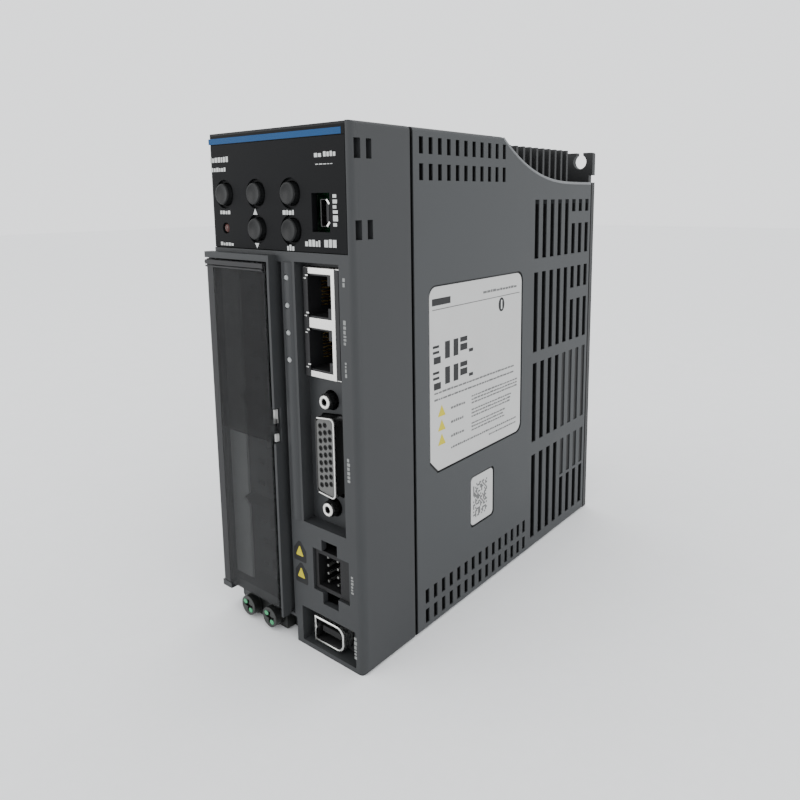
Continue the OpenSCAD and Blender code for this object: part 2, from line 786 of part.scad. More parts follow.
module signal_shell() {
    color("#c9ccd0") difference() {
        union() {
            slab_y([dsub_d0, dsub_flange_d + eps]) dsub_outline(0);
            block([dsub_x - dsub_flange_w / 2, dsub_x + dsub_flange_w / 2],
                  [dsub_flange_d, dsub_flange_d + dsub_flange_t],
                  [dsub_z - dsub_flange_h / 2, dsub_z + dsub_flange_h / 2]);
        }
        slab_y([0, dsub_flange_d + dsub_flange_t + 1]) dsub_outline(-dsub_sheet);
        for (s = [-1, 1]) rod_y(dsub_x, dsub_z + s * jackscrew_pitch / 2, screw_hole_r, [0, 20]);
    }
}

module signal_insert() {
    row_x = [-2, 0, 2];
    row_n = [9, 9, 8];
    pitch = 2.29;
    middle_shift = 0.57;
    hole_r = 0.55;
    color("#1d1e20") difference() {
        union() {
            slab_y([dsub_d0 + 0.3, dsub_flange_d + dsub_flange_t]) dsub_outline(-dsub_sheet);
            block([dsub_x - 5, control_x0], [dsub_flange_d + dsub_flange_t, 20], [dsub_z - 13, dsub_z + 13]);
        }
        for (r = [0:2], i = [0:row_n[r] - 1])
            rod_y(dsub_x + row_x[r], dsub_z + (i - (row_n[r] - 1) / 2) * pitch + (r == 1 ? middle_shift : 0),
                  hole_r, [0, dsub_d0 + 4]);
    }
}

module jack_screws() {
    color("#c9ccd0") for (s = [-1, 1]) difference() {
        z = dsub_z + s * jackscrew_pitch / 2;
        union() {
            translate([dsub_x, front_y + dsub_flange_d, z]) rotate([90, 0, 0])
                cylinder(h = dsub_flange_d - jackscrew_d0, r = hex_r, $fn = 6);
            rod_y(dsub_x, z, screw_r, [dsub_flange_d - eps, dsub_flange_d + 4.4]);
        }
        rod_y(dsub_x, z, jackscrew_hole_r, [0, jackscrew_d0 + jackscrew_hole_d]);
    }
}

// ---- Safety socket

module safety_header() {
    inset = 0.3;
    color("#1b1c1e") difference() {
        union() {
            block([safety_x[0] + inset, safety_x[1] - inset], [safety_d0, control_d0 - 0.3],
                  [safety_z[0] + inset, safety_z[1] - inset]);
            block([safety_x[0] + inset, control_x0 - slip], [control_d0 - 0.3 - eps, safety_d1],
                  [safety_z[0] + inset, safety_z[1] - inset]);
        }
        block([safety_x[0] + inset + safety_wall, control_x0 - safety_wall], [0, safety_d0 + safety_cavity_d],
              [safety_z[0] + inset + safety_wall, safety_z[1] - inset - safety_wall]);
    }
}

module safety_pins() {
    mid = (safety_x[0] + control_x0) / 2;
    half = 0.35;
    pitch = 2.6;
    column = 2.1;
    color("#c9a24a") for (c = [-1, 1], i = [0:3]) {
        x = mid + c * column;
        z = safety_z[0] + 2.75 + i * pitch;
        block([x - half, x + half], [safety_d0 + 1.6, safety_d0 + safety_cavity_d], [z - half, z + half]);
    }
}

// ---- Encoder socket

// Flat on the left, round shouldered on the right
module encoder_outline(grow) {
    x0 = encoder_x0 - grow;
    x1 = encoder_x0 + encoder_w + grow;
    z0 = encoder_z0 - grow;
    z1 = encoder_z0 + encoder_h + grow;
    r = 3;
    translate([x0, z0]) square([x1 - x0 - r, z1 - z0]);
    translate([x0, z0 + r]) square([x1 - x0, z1 - z0 - 2 * r]);
    for (z = [z0 + r, z1 - r]) translate([x1 - r, z]) circle(r);
}

module encoder_shell() {
    color("#c9ccd0") difference() {
        slab_y([encoder_d0, encoder_d1]) encoder_outline(0);
        slab_y([0, encoder_d1 + 1]) encoder_outline(-encoder_sheet);
    }
}

module encoder_insert() {
    mid_z = encoder_z0 + encoder_h / 2;
    color("#1d1e20") union() {
        slab_y([encoder_d1 - 4, encoder_d1 + 0.6]) encoder_outline(-encoder_sheet);
        block([encoder_x0 + 2.4, encoder_x0 + encoder_w - 2.6], [encoder_d0 + 1.4, encoder_d1 - 3],
              [mid_z - 1, mid_z + 1]);
        // Foot soldered to the board
        block([encoder_x0 + 2, control_x0], [encoder_d1, encoder_d1 + 3], [mid_z - 3, mid_z + 3]);
    }
}

// ---- Terminal cover

module terminal_cover() {
    rib = 1.4;
    bore_r = hinge_r + hinge_clear;
    color("#3b3d40") difference() {
        union() {
            block([hinge_x, door_x1], [-door_proud, door_t - door_proud], [door_z0, door_z1]);
            rod_z(hinge_x, hinge_d, barrel_r, [door_z0, door_z1]);
            // Stiffening rib inside the free edge
            block([bay_x1 - 0.6 - rib, bay_x1 - 0.6], [door_t - door_proud - eps, 1.2],
                  [bay_z0 + 0.6, bay_top - 1]);
            // Finger tab
            block([door_x1 - eps, ridge_x1 - 0.4], [-door_proud, 1.2 - door_proud],
                  [latch_z - tab_h / 2, latch_z + tab_h / 2]);
        }
        rod_z(hinge_x, hinge_d, bore_r, [door_z0 - 1, door_z0 + pin_bite + 0.4]);
        rod_z(hinge_x, hinge_d, bore_r, [door_z1 - pin_bite - 0.4, door_z1 + 1]);
    }
}

module hinge_pins() {
    color("#26272a") union() {
        rod_z(hinge_x, hinge_d, hinge_r, [door_z1 - pin_bite, bay_top + ledge_t]);
        rod_z(hinge_x, hinge_d, hinge_r, [door_z0 - door_gap - knuckle_t, door_z0 + pin_bite]);
    }
}

// ---- Power terminals

module wire_entry(i, w) {
    z = plug_z0(i) + plug_end + (w + 0.5) * terminal_pitch;
    block(entry_x, [plug_d0 - 1, plug_d0 + entry_depth], [z - entry_h / 2, z + entry_h / 2]);
}

module terminal_plug(i) {
    z0 = plug_z0(i);
    color("#2b2d30") difference() {
        block([plug_x0, plug_x1], [plug_d0, plug_d1], [z0, z0 + plug_len(i)]);
        for (w = [0:plug_ways[i] - 1]) {
            z = z0 + plug_end + (w + 0.5) * terminal_pitch;
            wire_entry(i, w);
            // Slot for the release blade
            block(release_x, [plug_d0 - 1, plug_d0 + release_depth], [z - release_h / 2, z + release_h / 2]);
        }
    }
}

module motor_plug() { terminal_plug(0); }
module bus_plug() { terminal_plug(1); }
module supply_plug() { terminal_plug(2); }

module terminal_headers() {
    color("#2f5d46") for (i = [0:2])
        block([power_x1 + slip, plug_x1], [plug_d1, plug_d1 + header_t],
              [plug_z0(i), plug_z0(i) + plug_len(i)]);
}

// A sprung metal tongue at the back of each wire entry
module wire_clamps() {
    color("#b9bcc0") for (i = [0:2], w = [0:plug_ways[i] - 1]) {
        z = plug_z0(i) + plug_end + (w + 0.5) * terminal_pitch;
        block(entry_x, [plug_d0 + entry_depth - 1, plug_d0 + entry_depth], [z - entry_h / 2, z + entry_h / 2]);
    }
}

// Pale printed strip with a notch between each two plugs
module terminal_legend() {
    color("#a9adae") slab_y(strip_d) difference() {
        translate([strip_x[0], bay_z0 + 1.6])
            square([strip_x[1] - strip_x[0], bay_top - bay_z0 - 4]);
        for (i = [1, 2]) {
            z = plug_z0(i) - plug_gap / 2;
            polygon([[strip_x[1] + 1, z - 2.8], [strip_x[1] + 1, z + 2.8], [strip_x[1] - 3.2, z]]);
        }
    }
}

// ---- Ground terminals

module ground_plate() {
    color("#a9adae") difference() {
        union() {
            block(ground_plate_x, [ground_plate_d, ground_plate_d + ground_plate_t], ground_plate_z);
            // Legs back to the face under the bay
            for (x = [ground_plate_x[0], ground_plate_x[1] - ground_leg_w])
                block([x, x + ground_leg_w], [ground_plate_d + ground_plate_t - eps, foot_d], ground_plate_z);
        }
        for (x = ground_x) rod_y(x, ground_z, screw_r + 0.1, [ground_d0, foot_d]);
    }
}

module ground_screws() {
    color("#8f9294") for (x = ground_x) difference() {
        union() {
            rod_y(x, ground_z, ground_head_r, [ground_d0, ground_d0 + ground_head_t]);
            rod_y(x, ground_z, screw_r, [ground_d0 + ground_head_t - eps, ground_plate_d + ground_plate_t]);
        }
        for (turn = [0, 90]) translate([x, front_y + ground_d0, ground_z]) rotate([0, turn, 0])
            cube([4.2, 2.4, 0.8], center = true);
    }
}

module ground_washers() {
    color("#b9bcc0") for (x = ground_x) difference() {
        rod_y(x, ground_z, washer_r, [ground_plate_d - washer_t, ground_plate_d]);
        rod_y(x, ground_z, screw_r + 0.3, [ground_d0, foot_d]);
    }
}

// ---- Heat sink

// A round slot with a narrower neck out to an edge of the flange
module keyhole(x, z, out) {
    rod_y(x, z, slot_dia / 2, [flange_d0 - 1, body_d + 1]);
    block([x - neck_w / 2, x + neck_w / 2], [flange_d0 - 1, body_d + 1], out > 0 ? [z, z + 12] : [z - 12, z]);
}

module heat_sink() {
    color("#4a4c4e") difference() {
        union() {
            slab_y([flange_d0, body_d]) round_rect([-half_w, half_w], [0, flange_top], 0.8);
            block([sink_wall_x0, sink_wall_x1], [bulkhead_d + wall + 0.4, flange_d0 + eps],
                  [wall + 1, flange_top]);
            for (i = [0:fin_count - 1]) {
                d = fin_d0 + i * fin_pitch;
                block([sink_wall_x1 - eps, fin_x1], [d, d + fin_t], [fin_z0, flange_top]);
            }
        }
        keyhole(ear_x, ear_z, 1);
        keyhole(-ear_x, low_ear_z, -1);
        // Notch under the upper ear
        block([half_w - 1.6, half_w + 1], [flange_d0 - 1, body_d + 1], [body_h - 14.6, body_h - 11.6]);
        corner_posts(1.8, [flange_d0 - 1, body_d + 1]);
        corner_post_sinks();
        for (z = module_screw_z()) rod_x(module_screw_d(), z, screw_r + 0.05, [sink_wall_x0 - 1, sink_wall_x1]);
    }
}

// Countersinks in the flange
module corner_post_sinks() {
    for (x = sink_screw_x, z = sink_screw_z)
        translate([x, front_y + body_d, z]) rotate([90, 0, 0])
            translate([0, 0, -eps]) cylinder(h = 1.8, r1 = 3.2, r2 = 1.6);
}

// Countersunk screws that hold the housing to the flange
module sink_screws() {
    color("#8f9294") for (x = sink_screw_x, z = sink_screw_z) difference() {
        translate([x, front_y + body_d, z]) rotate([90, 0, 0]) union() {
            translate([0, 0, 0.1]) cylinder(h = 1.5, r1 = 2.9, r2 = screw_r - 0.05);
            cylinder(h = flange_t + sink_screw_l - 2, r = screw_r - 0.05);
        }
        translate([x, front_y + body_d, z]) cube([3, 1.6, 0.6], center = true);
    }
}

function module_screw_d() = (module_d[0] + module_d[1]) / 2;
function module_screw_z() = [module_z[0] + 4, module_z[1] - 4];

module power_module() {
    color("#1f2023") difference() {
        union() {
            block([module_x0, module_x1], module_d, module_z);
            for (d = [module_d[0] + 1.2, module_d[1] - 2], i = [0:8]) {
                z = module_z[0] + 8 + i * 4;
                block([power_x1, module_x0 + eps], [d, d + 0.8], [z, z + 1]);
            }
        }
        for (z = module_screw_z()) rod_x(module_screw_d(), z, screw_r + 0.2, [module_x0 - 1, module_x1 + 1]);
    }
}

module module_screws() {
    color("#b9bcc0") for (z = module_screw_z()) union() {
        rod_x(module_screw_d(), z, screw_r, [module_x0 - eps, sink_wall_x1 - 0.3]);
        rod_x(module_screw_d(), z, screw_head_r, [module_x0 - screw_head_t, module_x0]);
    }
}

module thermal_pad() {
    color("#9aa0a8") difference() {
        block([module_x1, sink_wall_x0], module_d, module_z);
        for (z = module_screw_z()) rod_x(module_screw_d(), z, screw_r + 0.2, [module_x1 - 1, sink_wall_x0 + 1]);
    }
}

// ---- Boards and what they carry

module control_board() {
    color("#2d6a45") difference() {
        block([control_x0, control_x0 + board_t], [control_d0, control_d1], [6, panel_z0 - 3.6]);
        for (d = board_post_d, z = board_post_z)
            rod_x(d, z, screw_hole_r, [control_x0 - 1, control_x0 + board_t + 1]);
    }
}

module control_chips() {
    large_d = [control_d1 - 34, control_d1 - 18];
    small_d = [control_d1 - 32, control_d1 - 22];
    color("#232427") union() {
        for (z = [30, 52, 74]) block([control_x0 - 1.6, control_x0], large_d, [z, z + 16]);
        for (z = [92, 101]) block([control_x0 - 2.4, control_x0], small_d, [z, z + 7]);
    }
}

module board_posts() {
    color("#c3a562") for (d = board_post_d, z = board_post_z) difference() {
        rod_x(d, z, post_r, [control_x0 + board_t, inner_x]);
        rod_x(d, z, screw_r + 0.05, [control_x0, inner_x - 0.6]);
    }
}

module board_screws() {
    color("#b9bcc0") for (d = board_post_d, z = board_post_z) union() {
        rod_x(d, z, screw_r, [control_x0 - eps, inner_x - 0.9]);
        rod_x(d, z, screw_head_r, [control_x0 - screw_head_t, control_x0]);
    }
}

module power_board() {
    color("#2f7048") block([power_x0, power_x1], [power_d0, power_d1], [7, board_top]);
}

module insulation_sheet() {
    color("#c9c4a4") block([slip - inner_x, slip - inner_x + 0.4], [housing_d0 + 3.4, power_d1],
        [6, board_top]);
}

module bus_capacitors() {
    color("#26303f") for (d = cap_cols_d, z = cap_rows_z) rod_x(d, z, cap_body_r, [power_x1, power_x1 + 38]);
}

module relay() {
    color("#e6e4de") block([power_x1, power_x1 + 15.7], [housing_d0 + 6, housing_d0 + 24], [38, 58]);
}

module choke() {
    color("#a8632f") translate([power_x1 + 5, front_y + housing_d0 + 31, 26]) rotate([0, 90, 0])
        rotate_extrude() translate([7.4, 0]) circle(4.6, $fn = 32);
}

module fuse() {
    color("#d8d4c6") rod_z(power_x1 + 3.4, housing_d0 + 8, 3.2, [12, 32]);
}

module filter_capacitors() {
    d = [module_d[0] - 10, module_d[0] + 8];
    color("#c9b23a") for (z = [116, 130]) block([power_x1, power_x1 + 8], d, [z - 8, z]);
}

module riser_board() {
    color("#2d6a45") block([power_x1, control_x0], [control_d1 - 2, control_d1 - 2 + board_t], [20, 62]);
}

// ---- Fan

module fan_frame() {
    half = fan_size / 2;
    color("#1d1e20") union() {
        difference() {
            block([fan_x - half, fan_x + half], [fan_d - half, fan_d + half], [wall, wall + fan_h]);
            rod_z(fan_x, fan_d, fan_bore_r, [0, 30]);
        }
        rod_z(fan_x, fan_d, fan_hub_r, [wall, wall + 2]);
        rod_z(fan_x, fan_d, fan_shaft_r, [wall, wall + fan_h - 2]);
        for (turn = [45, 135, 225, 315]) translate([fan_x, front_y + fan_d, wall]) rotate([0, 0, turn])
            translate([fan_hub_r - 1, -1, 0]) cube([fan_bore_r - fan_hub_r + 1.6, 2, 1.6]);
    }
}

module fan_rotor() {
    hub_z = [wall + 2.6, wall + fan_h - 1];
    color("#2a2b2e") difference() {
        union() {
            rod_z(fan_x, fan_d, fan_hub_r + 0.4, hub_z);
            for (i = [0:blade_count - 1]) translate([fan_x, front_y + fan_d, (hub_z[0] + hub_z[1]) / 2])
                rotate([0, 0, i * 360 / blade_count]) translate([fan_hub_r - 0.6, 0, 0]) rotate([38, 0, 0])
                    translate([0, -6.4, -0.5]) cube([fan_blade_r - fan_hub_r - 1.6, 12.8, 1]);
        }
        rod_z(fan_x, fan_d, fan_shaft_r + fan_shaft_gap, [0, hub_z[1] - 0.6]);
    }
}

module fan_guard() {
    color("#303234") union() {
        for (r = [4.6, 9.2, 13.8, guard_r]) difference() {
            rod_z(fan_x, fan_d, r, [0.3, 1.7]);
            rod_z(fan_x, fan_d, r - 1.2, [0, 2]);
        }
        for (turn = [0, 90]) translate([fan_x, front_y + fan_d, 1]) rotate([0, 0, turn])
            cube([2 * guard_r - 0.6, 1.6, 1.4], center = true);
    }
}

// ---- Labels

// Rounded at three corners and cut off at the lower front one
module label_outline(grow) {
    d = [label_d[0] - grow, label_d[1] + grow];
    z = [label_z[0] - grow, label_z[1] + grow];
    difference() {
        round_rect(d, z, label_r);
        translate([d[0] - 1, z[0] - 1]) polygon([[0, 0], [6, 0], [0, 6]]);
    }
}

module code_outline(grow) {
    round_rect([code_d[0] - grow, code_d[1] + grow], [code_z[0] - grow, code_z[1] + grow], 1.6);
}

module rating_label() {
    color("#d2d3d0") slab_x([half_w - label_pocket, half_w - label_pocket + label_t]) label_outline(0);
}

module code_label() {
    color("#d2d3d0") slab_x([half_w - label_pocket, half_w - label_pocket + label_t]) code_outline(0);
}

main_housing();
front_shell();
keypad_panel();
accent_stripe();
button_mode();
button_up();
button_shift();
button_down();
button_set();
charge_light();
status_light_pipes();
segment_display();
display_board();
key_switches();
usb_shell();
usb_tongue();
jack_shield();
jack_insert();
jack_contacts();
signal_shell();
signal_insert();
jack_screws();
safety_header();
safety_pins();
encoder_shell();
encoder_insert();
terminal_cover();
hinge_pins();
motor_plug();
bus_plug();
supply_plug();
terminal_headers();
wire_clamps();
terminal_legend();
ground_plate();
ground_screws();
ground_washers();
heat_sink();
sink_screws();
power_module();
module_screws();
thermal_pad();
control_board();
control_chips();
board_posts();
board_screws();
power_board();
insulation_sheet();
bus_capacitors();
relay();
choke();
fuse();
filter_capacitors();
riser_board();
fan_frame();
fan_rotor();
fan_guard();
rating_label();
code_label();
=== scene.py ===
"""A book-format servo drive on a pale floor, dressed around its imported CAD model."""

from math import cos, radians, sin

import bmesh
import bpy
import numpy as np
from mathutils import Matrix, Vector


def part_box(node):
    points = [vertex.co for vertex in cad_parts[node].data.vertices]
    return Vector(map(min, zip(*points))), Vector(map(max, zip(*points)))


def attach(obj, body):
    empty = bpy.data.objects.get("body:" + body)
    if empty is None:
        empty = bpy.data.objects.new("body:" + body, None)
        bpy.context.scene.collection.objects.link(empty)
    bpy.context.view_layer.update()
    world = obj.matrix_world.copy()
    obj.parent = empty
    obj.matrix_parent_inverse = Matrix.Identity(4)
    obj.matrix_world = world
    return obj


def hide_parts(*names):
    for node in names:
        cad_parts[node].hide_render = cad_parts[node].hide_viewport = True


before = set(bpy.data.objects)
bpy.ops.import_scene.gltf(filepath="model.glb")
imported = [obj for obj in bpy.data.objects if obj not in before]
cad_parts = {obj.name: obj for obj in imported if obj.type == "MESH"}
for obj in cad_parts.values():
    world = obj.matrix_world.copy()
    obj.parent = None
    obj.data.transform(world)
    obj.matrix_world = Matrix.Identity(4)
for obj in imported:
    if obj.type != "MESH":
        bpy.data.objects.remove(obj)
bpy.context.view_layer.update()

# ---- Studio: the camera looks down a little at the keypad side and the labelled side,
# over a plain pale floor, with one soft box low on the right, a wider one from the
# front left and a bright room.

low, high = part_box("front_shell")
cover_proud = 0.003
front_y = low.y + cover_proud
camera_right, camera_ahead, camera_height = 0.162, 0.1326, 0.1398
camera_data = bpy.data.cameras.new("camera")
camera_data.lens = 31.2
camera_data.sensor_width = 36
camera_data.shift_x = -0.032
camera_data.shift_y = -0.116
camera_data.clip_start = 0.01
yaw, pitch, roll = radians(38.6), radians(9.0), radians(-0.5)
forward = Vector((-sin(yaw) * cos(pitch), cos(yaw) * cos(pitch), -sin(pitch)))
right = forward.cross(Vector((0, 0, 1))).normalized()
up = right.cross(forward)
turn = Matrix((right, up, -forward)).transposed() @ Matrix.Rotation(roll, 3, "Z")
camera = bpy.data.objects.new("camera", camera_data)
camera_place = Vector((camera_right, front_y - camera_ahead, camera_height))
camera.matrix_world = Matrix.Translation(camera_place) @ turn.to_4x4()
bpy.context.scene.collection.objects.link(camera)
bpy.context.scene.camera = camera


def area_light(name, place, target, size, power):
    """A square soft box of the given side at place, facing target."""
    data = bpy.data.lights.new(name, "AREA")
    data.shape = "SQUARE"
    data.size = size
    data.energy = power
    lamp = bpy.data.objects.new(name, data)
    aim = (Vector(target) - Vector(place)).to_track_quat("-Z", "Y")
    lamp.matrix_world = Matrix.Translation(Vector(place)) @ aim.to_matrix().to_4x4()
    bpy.context.scene.collection.objects.link(lamp)


area_light("key_light", (0.55, -0.05, 0.06), (0.03, 0, 0.05), size=0.35, power=1.2)
area_light("fill_light", (-0.6, -0.9, 0.3), (0, 0, 0.08), size=0.5, power=2.5)
world = bpy.data.worlds.new("soft_room")
world.use_nodes = True
room = world.node_tree.nodes["Background"]
room.inputs["Color"].default_value = (0.97, 0.985, 1, 1)
room.inputs["Strength"].default_value = 1.7
bpy.context.scene.world = world

reach = 3
floor_corners = [(-reach, -reach, 0), (reach, -reach, 0), (reach, reach, 0), (-reach, reach, 0)]
floor_mesh = bpy.data.meshes.new("floor")
floor_mesh.from_pydata(floor_corners, [], [(0, 1, 2, 3)])
floor = bpy.data.objects.new("floor", floor_mesh)
bpy.context.scene.collection.objects.link(floor)


def painted(name, colour, roughness, grain_mm=0.35, grain_depth=0.02, mottle=0.12, metallic=0.0,
            stretch=(1, 1, 1), gloss=0.3):
    """A finish with a fine grain. The sum of two noises on object coordinates, one of
    grain_mm and one of about 15 mm, varies the colour by the share mottle and the
    roughness by spread, and the fine one raises a bump of grain_depth mm. stretch
    draws the grain out along an axis, as brushing and rolling do. gloss is the
    strength of the mirror reflection."""
    broad_scale, layers, bump_strength = 65, 3, 0.6
    lowest, highest, spread = 0.6, 1.4, 0.07
    material = bpy.data.materials.new(name)
    material.use_nodes = True
    nodes, links = material.node_tree.nodes, material.node_tree.links
    shader = nodes["Principled BSDF"]
    shader.inputs["Metallic"].default_value = metallic
    shader.inputs["Specular IOR Level"].default_value = gloss
    place = nodes.new("ShaderNodeMapping")
    place.inputs["Scale"].default_value = stretch
    links.new(nodes.new("ShaderNodeTexCoord").outputs["Object"], place.inputs["Vector"])
    fine, broad = nodes.new("ShaderNodeTexNoise"), nodes.new("ShaderNodeTexNoise")
    for noise, scale in ((fine, 1000 / grain_mm), (broad, broad_scale)):
        noise.inputs["Scale"].default_value = scale
        noise.inputs["Detail"].default_value = layers
        links.new(place.outputs["Vector"], noise.inputs["Vector"])
    grain = nodes.new("ShaderNodeMath")
    grain.operation = "ADD"
    links.new(fine.outputs["Fac"], grain.inputs[0])
    links.new(broad.outputs["Fac"], grain.inputs[1])
    wear = nodes.new("ShaderNodeMapRange")
    wear.inputs["From Min"].default_value = lowest
    wear.inputs["From Max"].default_value = highest
    wear.inputs["To Min"].default_value = max(0.03, roughness - spread)
    wear.inputs["To Max"].default_value = min(1, roughness + spread)
    links.new(grain.outputs[0], wear.inputs["Value"])
    links.new(wear.outputs["Result"], shader.inputs["Roughness"])
    tint = nodes.new("ShaderNodeMapRange")
    tint.data_type = "FLOAT_VECTOR"
    for socket, level in zip(tint.inputs[7:9], (lowest, highest)):
        socket.default_value = (level, level, level)
    for socket, share in zip(tint.inputs[9:11], (1 - mottle, 1 + mottle)):
        socket.default_value = [c * share for c in colour]
    links.new(grain.outputs[0], tint.inputs[6])
    links.new(tint.outputs["Vector"], shader.inputs["Base Color"])
    bump = nodes.new("ShaderNodeBump")
    bump.inputs["Strength"].default_value = bump_strength
    bump.inputs["Distance"].default_value = grain_depth / 1000
    links.new(fine.outputs["Fac"], bump.inputs["Height"])
    links.new(bump.outputs["Normal"], shader.inputs["Normal"])
    return material


floor_mesh.materials.append(painted("pale_floor", (0.93, 0.935, 0.94), 0.8, grain_mm=3, mottle=0.015))

# ---- Housing: the rear moulding with the vents and the grid, charcoal polycarbonate
# with a spark-eroded skin and painted shade inside its slots. Its edges are eased by a
# quarter of a millimetre.


def eased(node, piece_name, radius_mm, material, body="drive"):
    """A merged copy of a CAD node, its flat faces joined, with every edge rounded to
    radius_mm and the shading weighted towards the large faces."""
    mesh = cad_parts[node].data.copy()
    mesh.name = piece_name
    shape = bmesh.new()
    shape.from_mesh(mesh)
    bmesh.ops.remove_doubles(shape, verts=shape.verts, dist=2e-6)
    bmesh.ops.dissolve_limit(shape, angle_limit=radians(0.6), verts=shape.verts, edges=shape.edges)
    for face in shape.faces:
        face.smooth = True
    shape.to_mesh(mesh)
    shape.free()
    mesh.materials.clear()
    mesh.materials.append(material)
    piece = bpy.data.objects.new(piece_name, mesh)
    bpy.context.scene.collection.objects.link(piece)
    bevel = piece.modifiers.new("eased_edges", "BEVEL")
    bevel.width = radius_mm / 1000
    bevel.segments = 2
    bevel.limit_method = "ANGLE"
    bevel.angle_limit = radians(35)
    piece.modifiers.new("flat_faces", "WEIGHTED_NORMAL").weight = 100
    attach(piece, body)
    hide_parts(node)
    return piece


def painted_slot_shade(material, skin_mm, share, spare_z_mm, spare_y_mm):
    """Multiplies the colour by share wherever the object coordinates lie deeper than
    skin_mm under the sides, the top and the bottom, as little light reaches into
    narrow slots. Points that are both above spare_z_mm and behind spare_y_mm keep
    their colour."""
    nodes, links = material.node_tree.nodes, material.node_tree.links
    shader = nodes["Principled BSDF"]
    plain = shader.inputs["Base Color"].links[0].from_socket

    def combine(operation, one, other=None):
        """The result of a math node on one socket alone, or with another socket or a
        number of metres."""
        node = nodes.new("ShaderNodeMath")
        node.operation = operation
        links.new(one, node.inputs[0])
        if isinstance(other, float):
            node.inputs[1].default_value = other
        elif other is not None:
            links.new(other, node.inputs[1])
        return node.outputs[0]

    axes = nodes.new("ShaderNodeSeparateXYZ")
    links.new(nodes.new("ShaderNodeTexCoord").outputs["Object"], axes.inputs[0])
    depth_y, height_z = axes.outputs["Y"], axes.outputs["Z"]
    skin = skin_mm / 1000
    inside = combine("LESS_THAN", combine("ABSOLUTE", axes.outputs["X"]), high.x - skin)
    inside = combine("MULTIPLY", inside, combine("LESS_THAN", height_z, high.z - skin))
    inside = combine("MULTIPLY", inside, combine("GREATER_THAN", height_z, skin))
    spared = combine("MULTIPLY", combine("GREATER_THAN", height_z, spare_z_mm / 1000),
                     combine("GREATER_THAN", depth_y, spare_y_mm / 1000))
    shade = nodes.new("ShaderNodeMapRange")
    shade.inputs["To Min"].default_value = 1
    shade.inputs["To Max"].default_value = share
    links.new(combine("SUBTRACT", inside, spared), shade.inputs["Value"])
    scaled = nodes.new("ShaderNodeVectorMath")
    scaled.operation = "SCALE"
    links.new(plain, scaled.inputs[0])
    links.new(shade.outputs["Result"], scaled.inputs["Scale"])
    links.new(scaled.outputs["Vector"], shader.inputs["Base Color"])


housing_plastic = painted("housing_plastic", (0.036, 0.0385, 0.0405), 0.55, grain_mm=0.3, grain_depth=0.015,
                          mottle=0.1)
# Painted shade: the housing's colour is darkened inside its slots.
painted_slot_shade(housing_plastic, skin_mm=0.4, share=0.1, spare_z_mm=137, spare_y_mm=17)
eased("main_housing", "housing_moulding", 0.25, housing_plastic)

# ---- Front moulding: the shell that carries the keypad, the connectors and the
# terminal bay. The same plastic as the housing, slipped over the housing's lip, with
# its colour a little darker as painted shade on the front.

# Painted shade: the housing's plastic in a darker copy for the front.
front_plastic_painted_shade = painted("front_plastic_painted_shade", (0.028, 0.0295, 0.031), 0.55, grain_mm=0.3, grain_depth=0.015,
                        mottle=0.1)
eased("front_shell", "front_moulding", 0.2, front_plastic_painted_shade)

# ---- Keypad panel: a black satin moulding with round wells for the keys, and a black
# cap rail over it with a printed blue band. The legends are raised ink.

panel_black = painted("panel_black", (0.006, 0.0062, 0.0068), 0.45, grain_mm=0.25, grain_depth=0.006,
                      mottle=0.2, gloss=0.06)
eased("keypad_panel", "keypad_moulding", 0.12, panel_black)
eased("accent_stripe", "cap_rail", 0.1, panel_black)


def add_piece(name, points, faces, material, slot, body="drive", smooth=False, replaced=()):
    """A mesh from an array of points in millimetres and a list of faces, with its
    doubled points merged and its faces turned outwards, riding on a body."""
    mesh = bpy.data.meshes.new(name)
    mesh.from_pydata((np.asarray(points, float).reshape(-1, 3) / 1000).tolist(), [], faces)
    shape = bmesh.new()
    shape.from_mesh(mesh)
    bmesh.ops.remove_doubles(shape, verts=shape.verts, dist=1e-6)
    bmesh.ops.recalc_face_normals(shape, faces=shape.faces)
    for face in shape.faces:
        face.smooth = smooth
    shape.to_mesh(mesh)
    shape.free()
    mesh.materials.append(material)
    piece = bpy.data.objects.new(name, mesh)
    bpy.context.scene.collection.objects.link(piece)
    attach(piece, body)
    if replaced:
        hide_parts(*replaced)
    return piece


def in_frame(u, v, w, facing):
    """Points from two coordinates on a face and one out of it. On the front, u is x,
    v is z and w the depth behind the face; on the side, u is depth, v is z and w is x;
    seen from above, u is x, v is depth and w is z."""
    front_mm = front_y * 1000
    if facing == "front":
        return np.stack([u, front_mm + w, v], -1)
    if facing == "side":
        return np.stack([w, front_mm + u, v], -1)
    return np.stack([u, front_mm + v, w], -1)


def prisms(outlines, near, far, facing):
    """Closed prisms. Each of k outlines of n corners is set at two heights, near and
    far, and the two rings are joined by n sides. Gives all points and all faces."""
    outlines = np.asarray(outlines, float)
    k, n = outlines.shape[:2]
    u, v = outlines[..., 0], outlines[..., 1]
    rings = [in_frame(u, v, np.full((k, n), w), facing) for w in (near, far)]
    points = np.concatenate([ring.reshape(-1, 3) for ring in rings])
    first = (np.arange(k) * n)[:, None]
    here = first + np.arange(n)
    ahead = first + (np.arange(n) + 1) % n
    sides = np.stack([here, ahead, ahead + k * n, here + k * n], -1).reshape(-1, 4)
    return points, sides.tolist() + here.tolist() + (here[:, ::-1] + k * n).tolist()


def bars(centres, width, height):
    """Rectangles round centres; width and height are numbers or one for each."""
    centres = np.asarray(centres, float).reshape(-1, 2)
    corner = np.array([(-0.5, -0.5), (0.5, -0.5), (0.5, 0.5), (-0.5, 0.5)])
    size = np.stack(np.broadcast_arrays(width, height), -1).reshape(-1, 1, 2)
    return centres[:, None, :] + corner * size


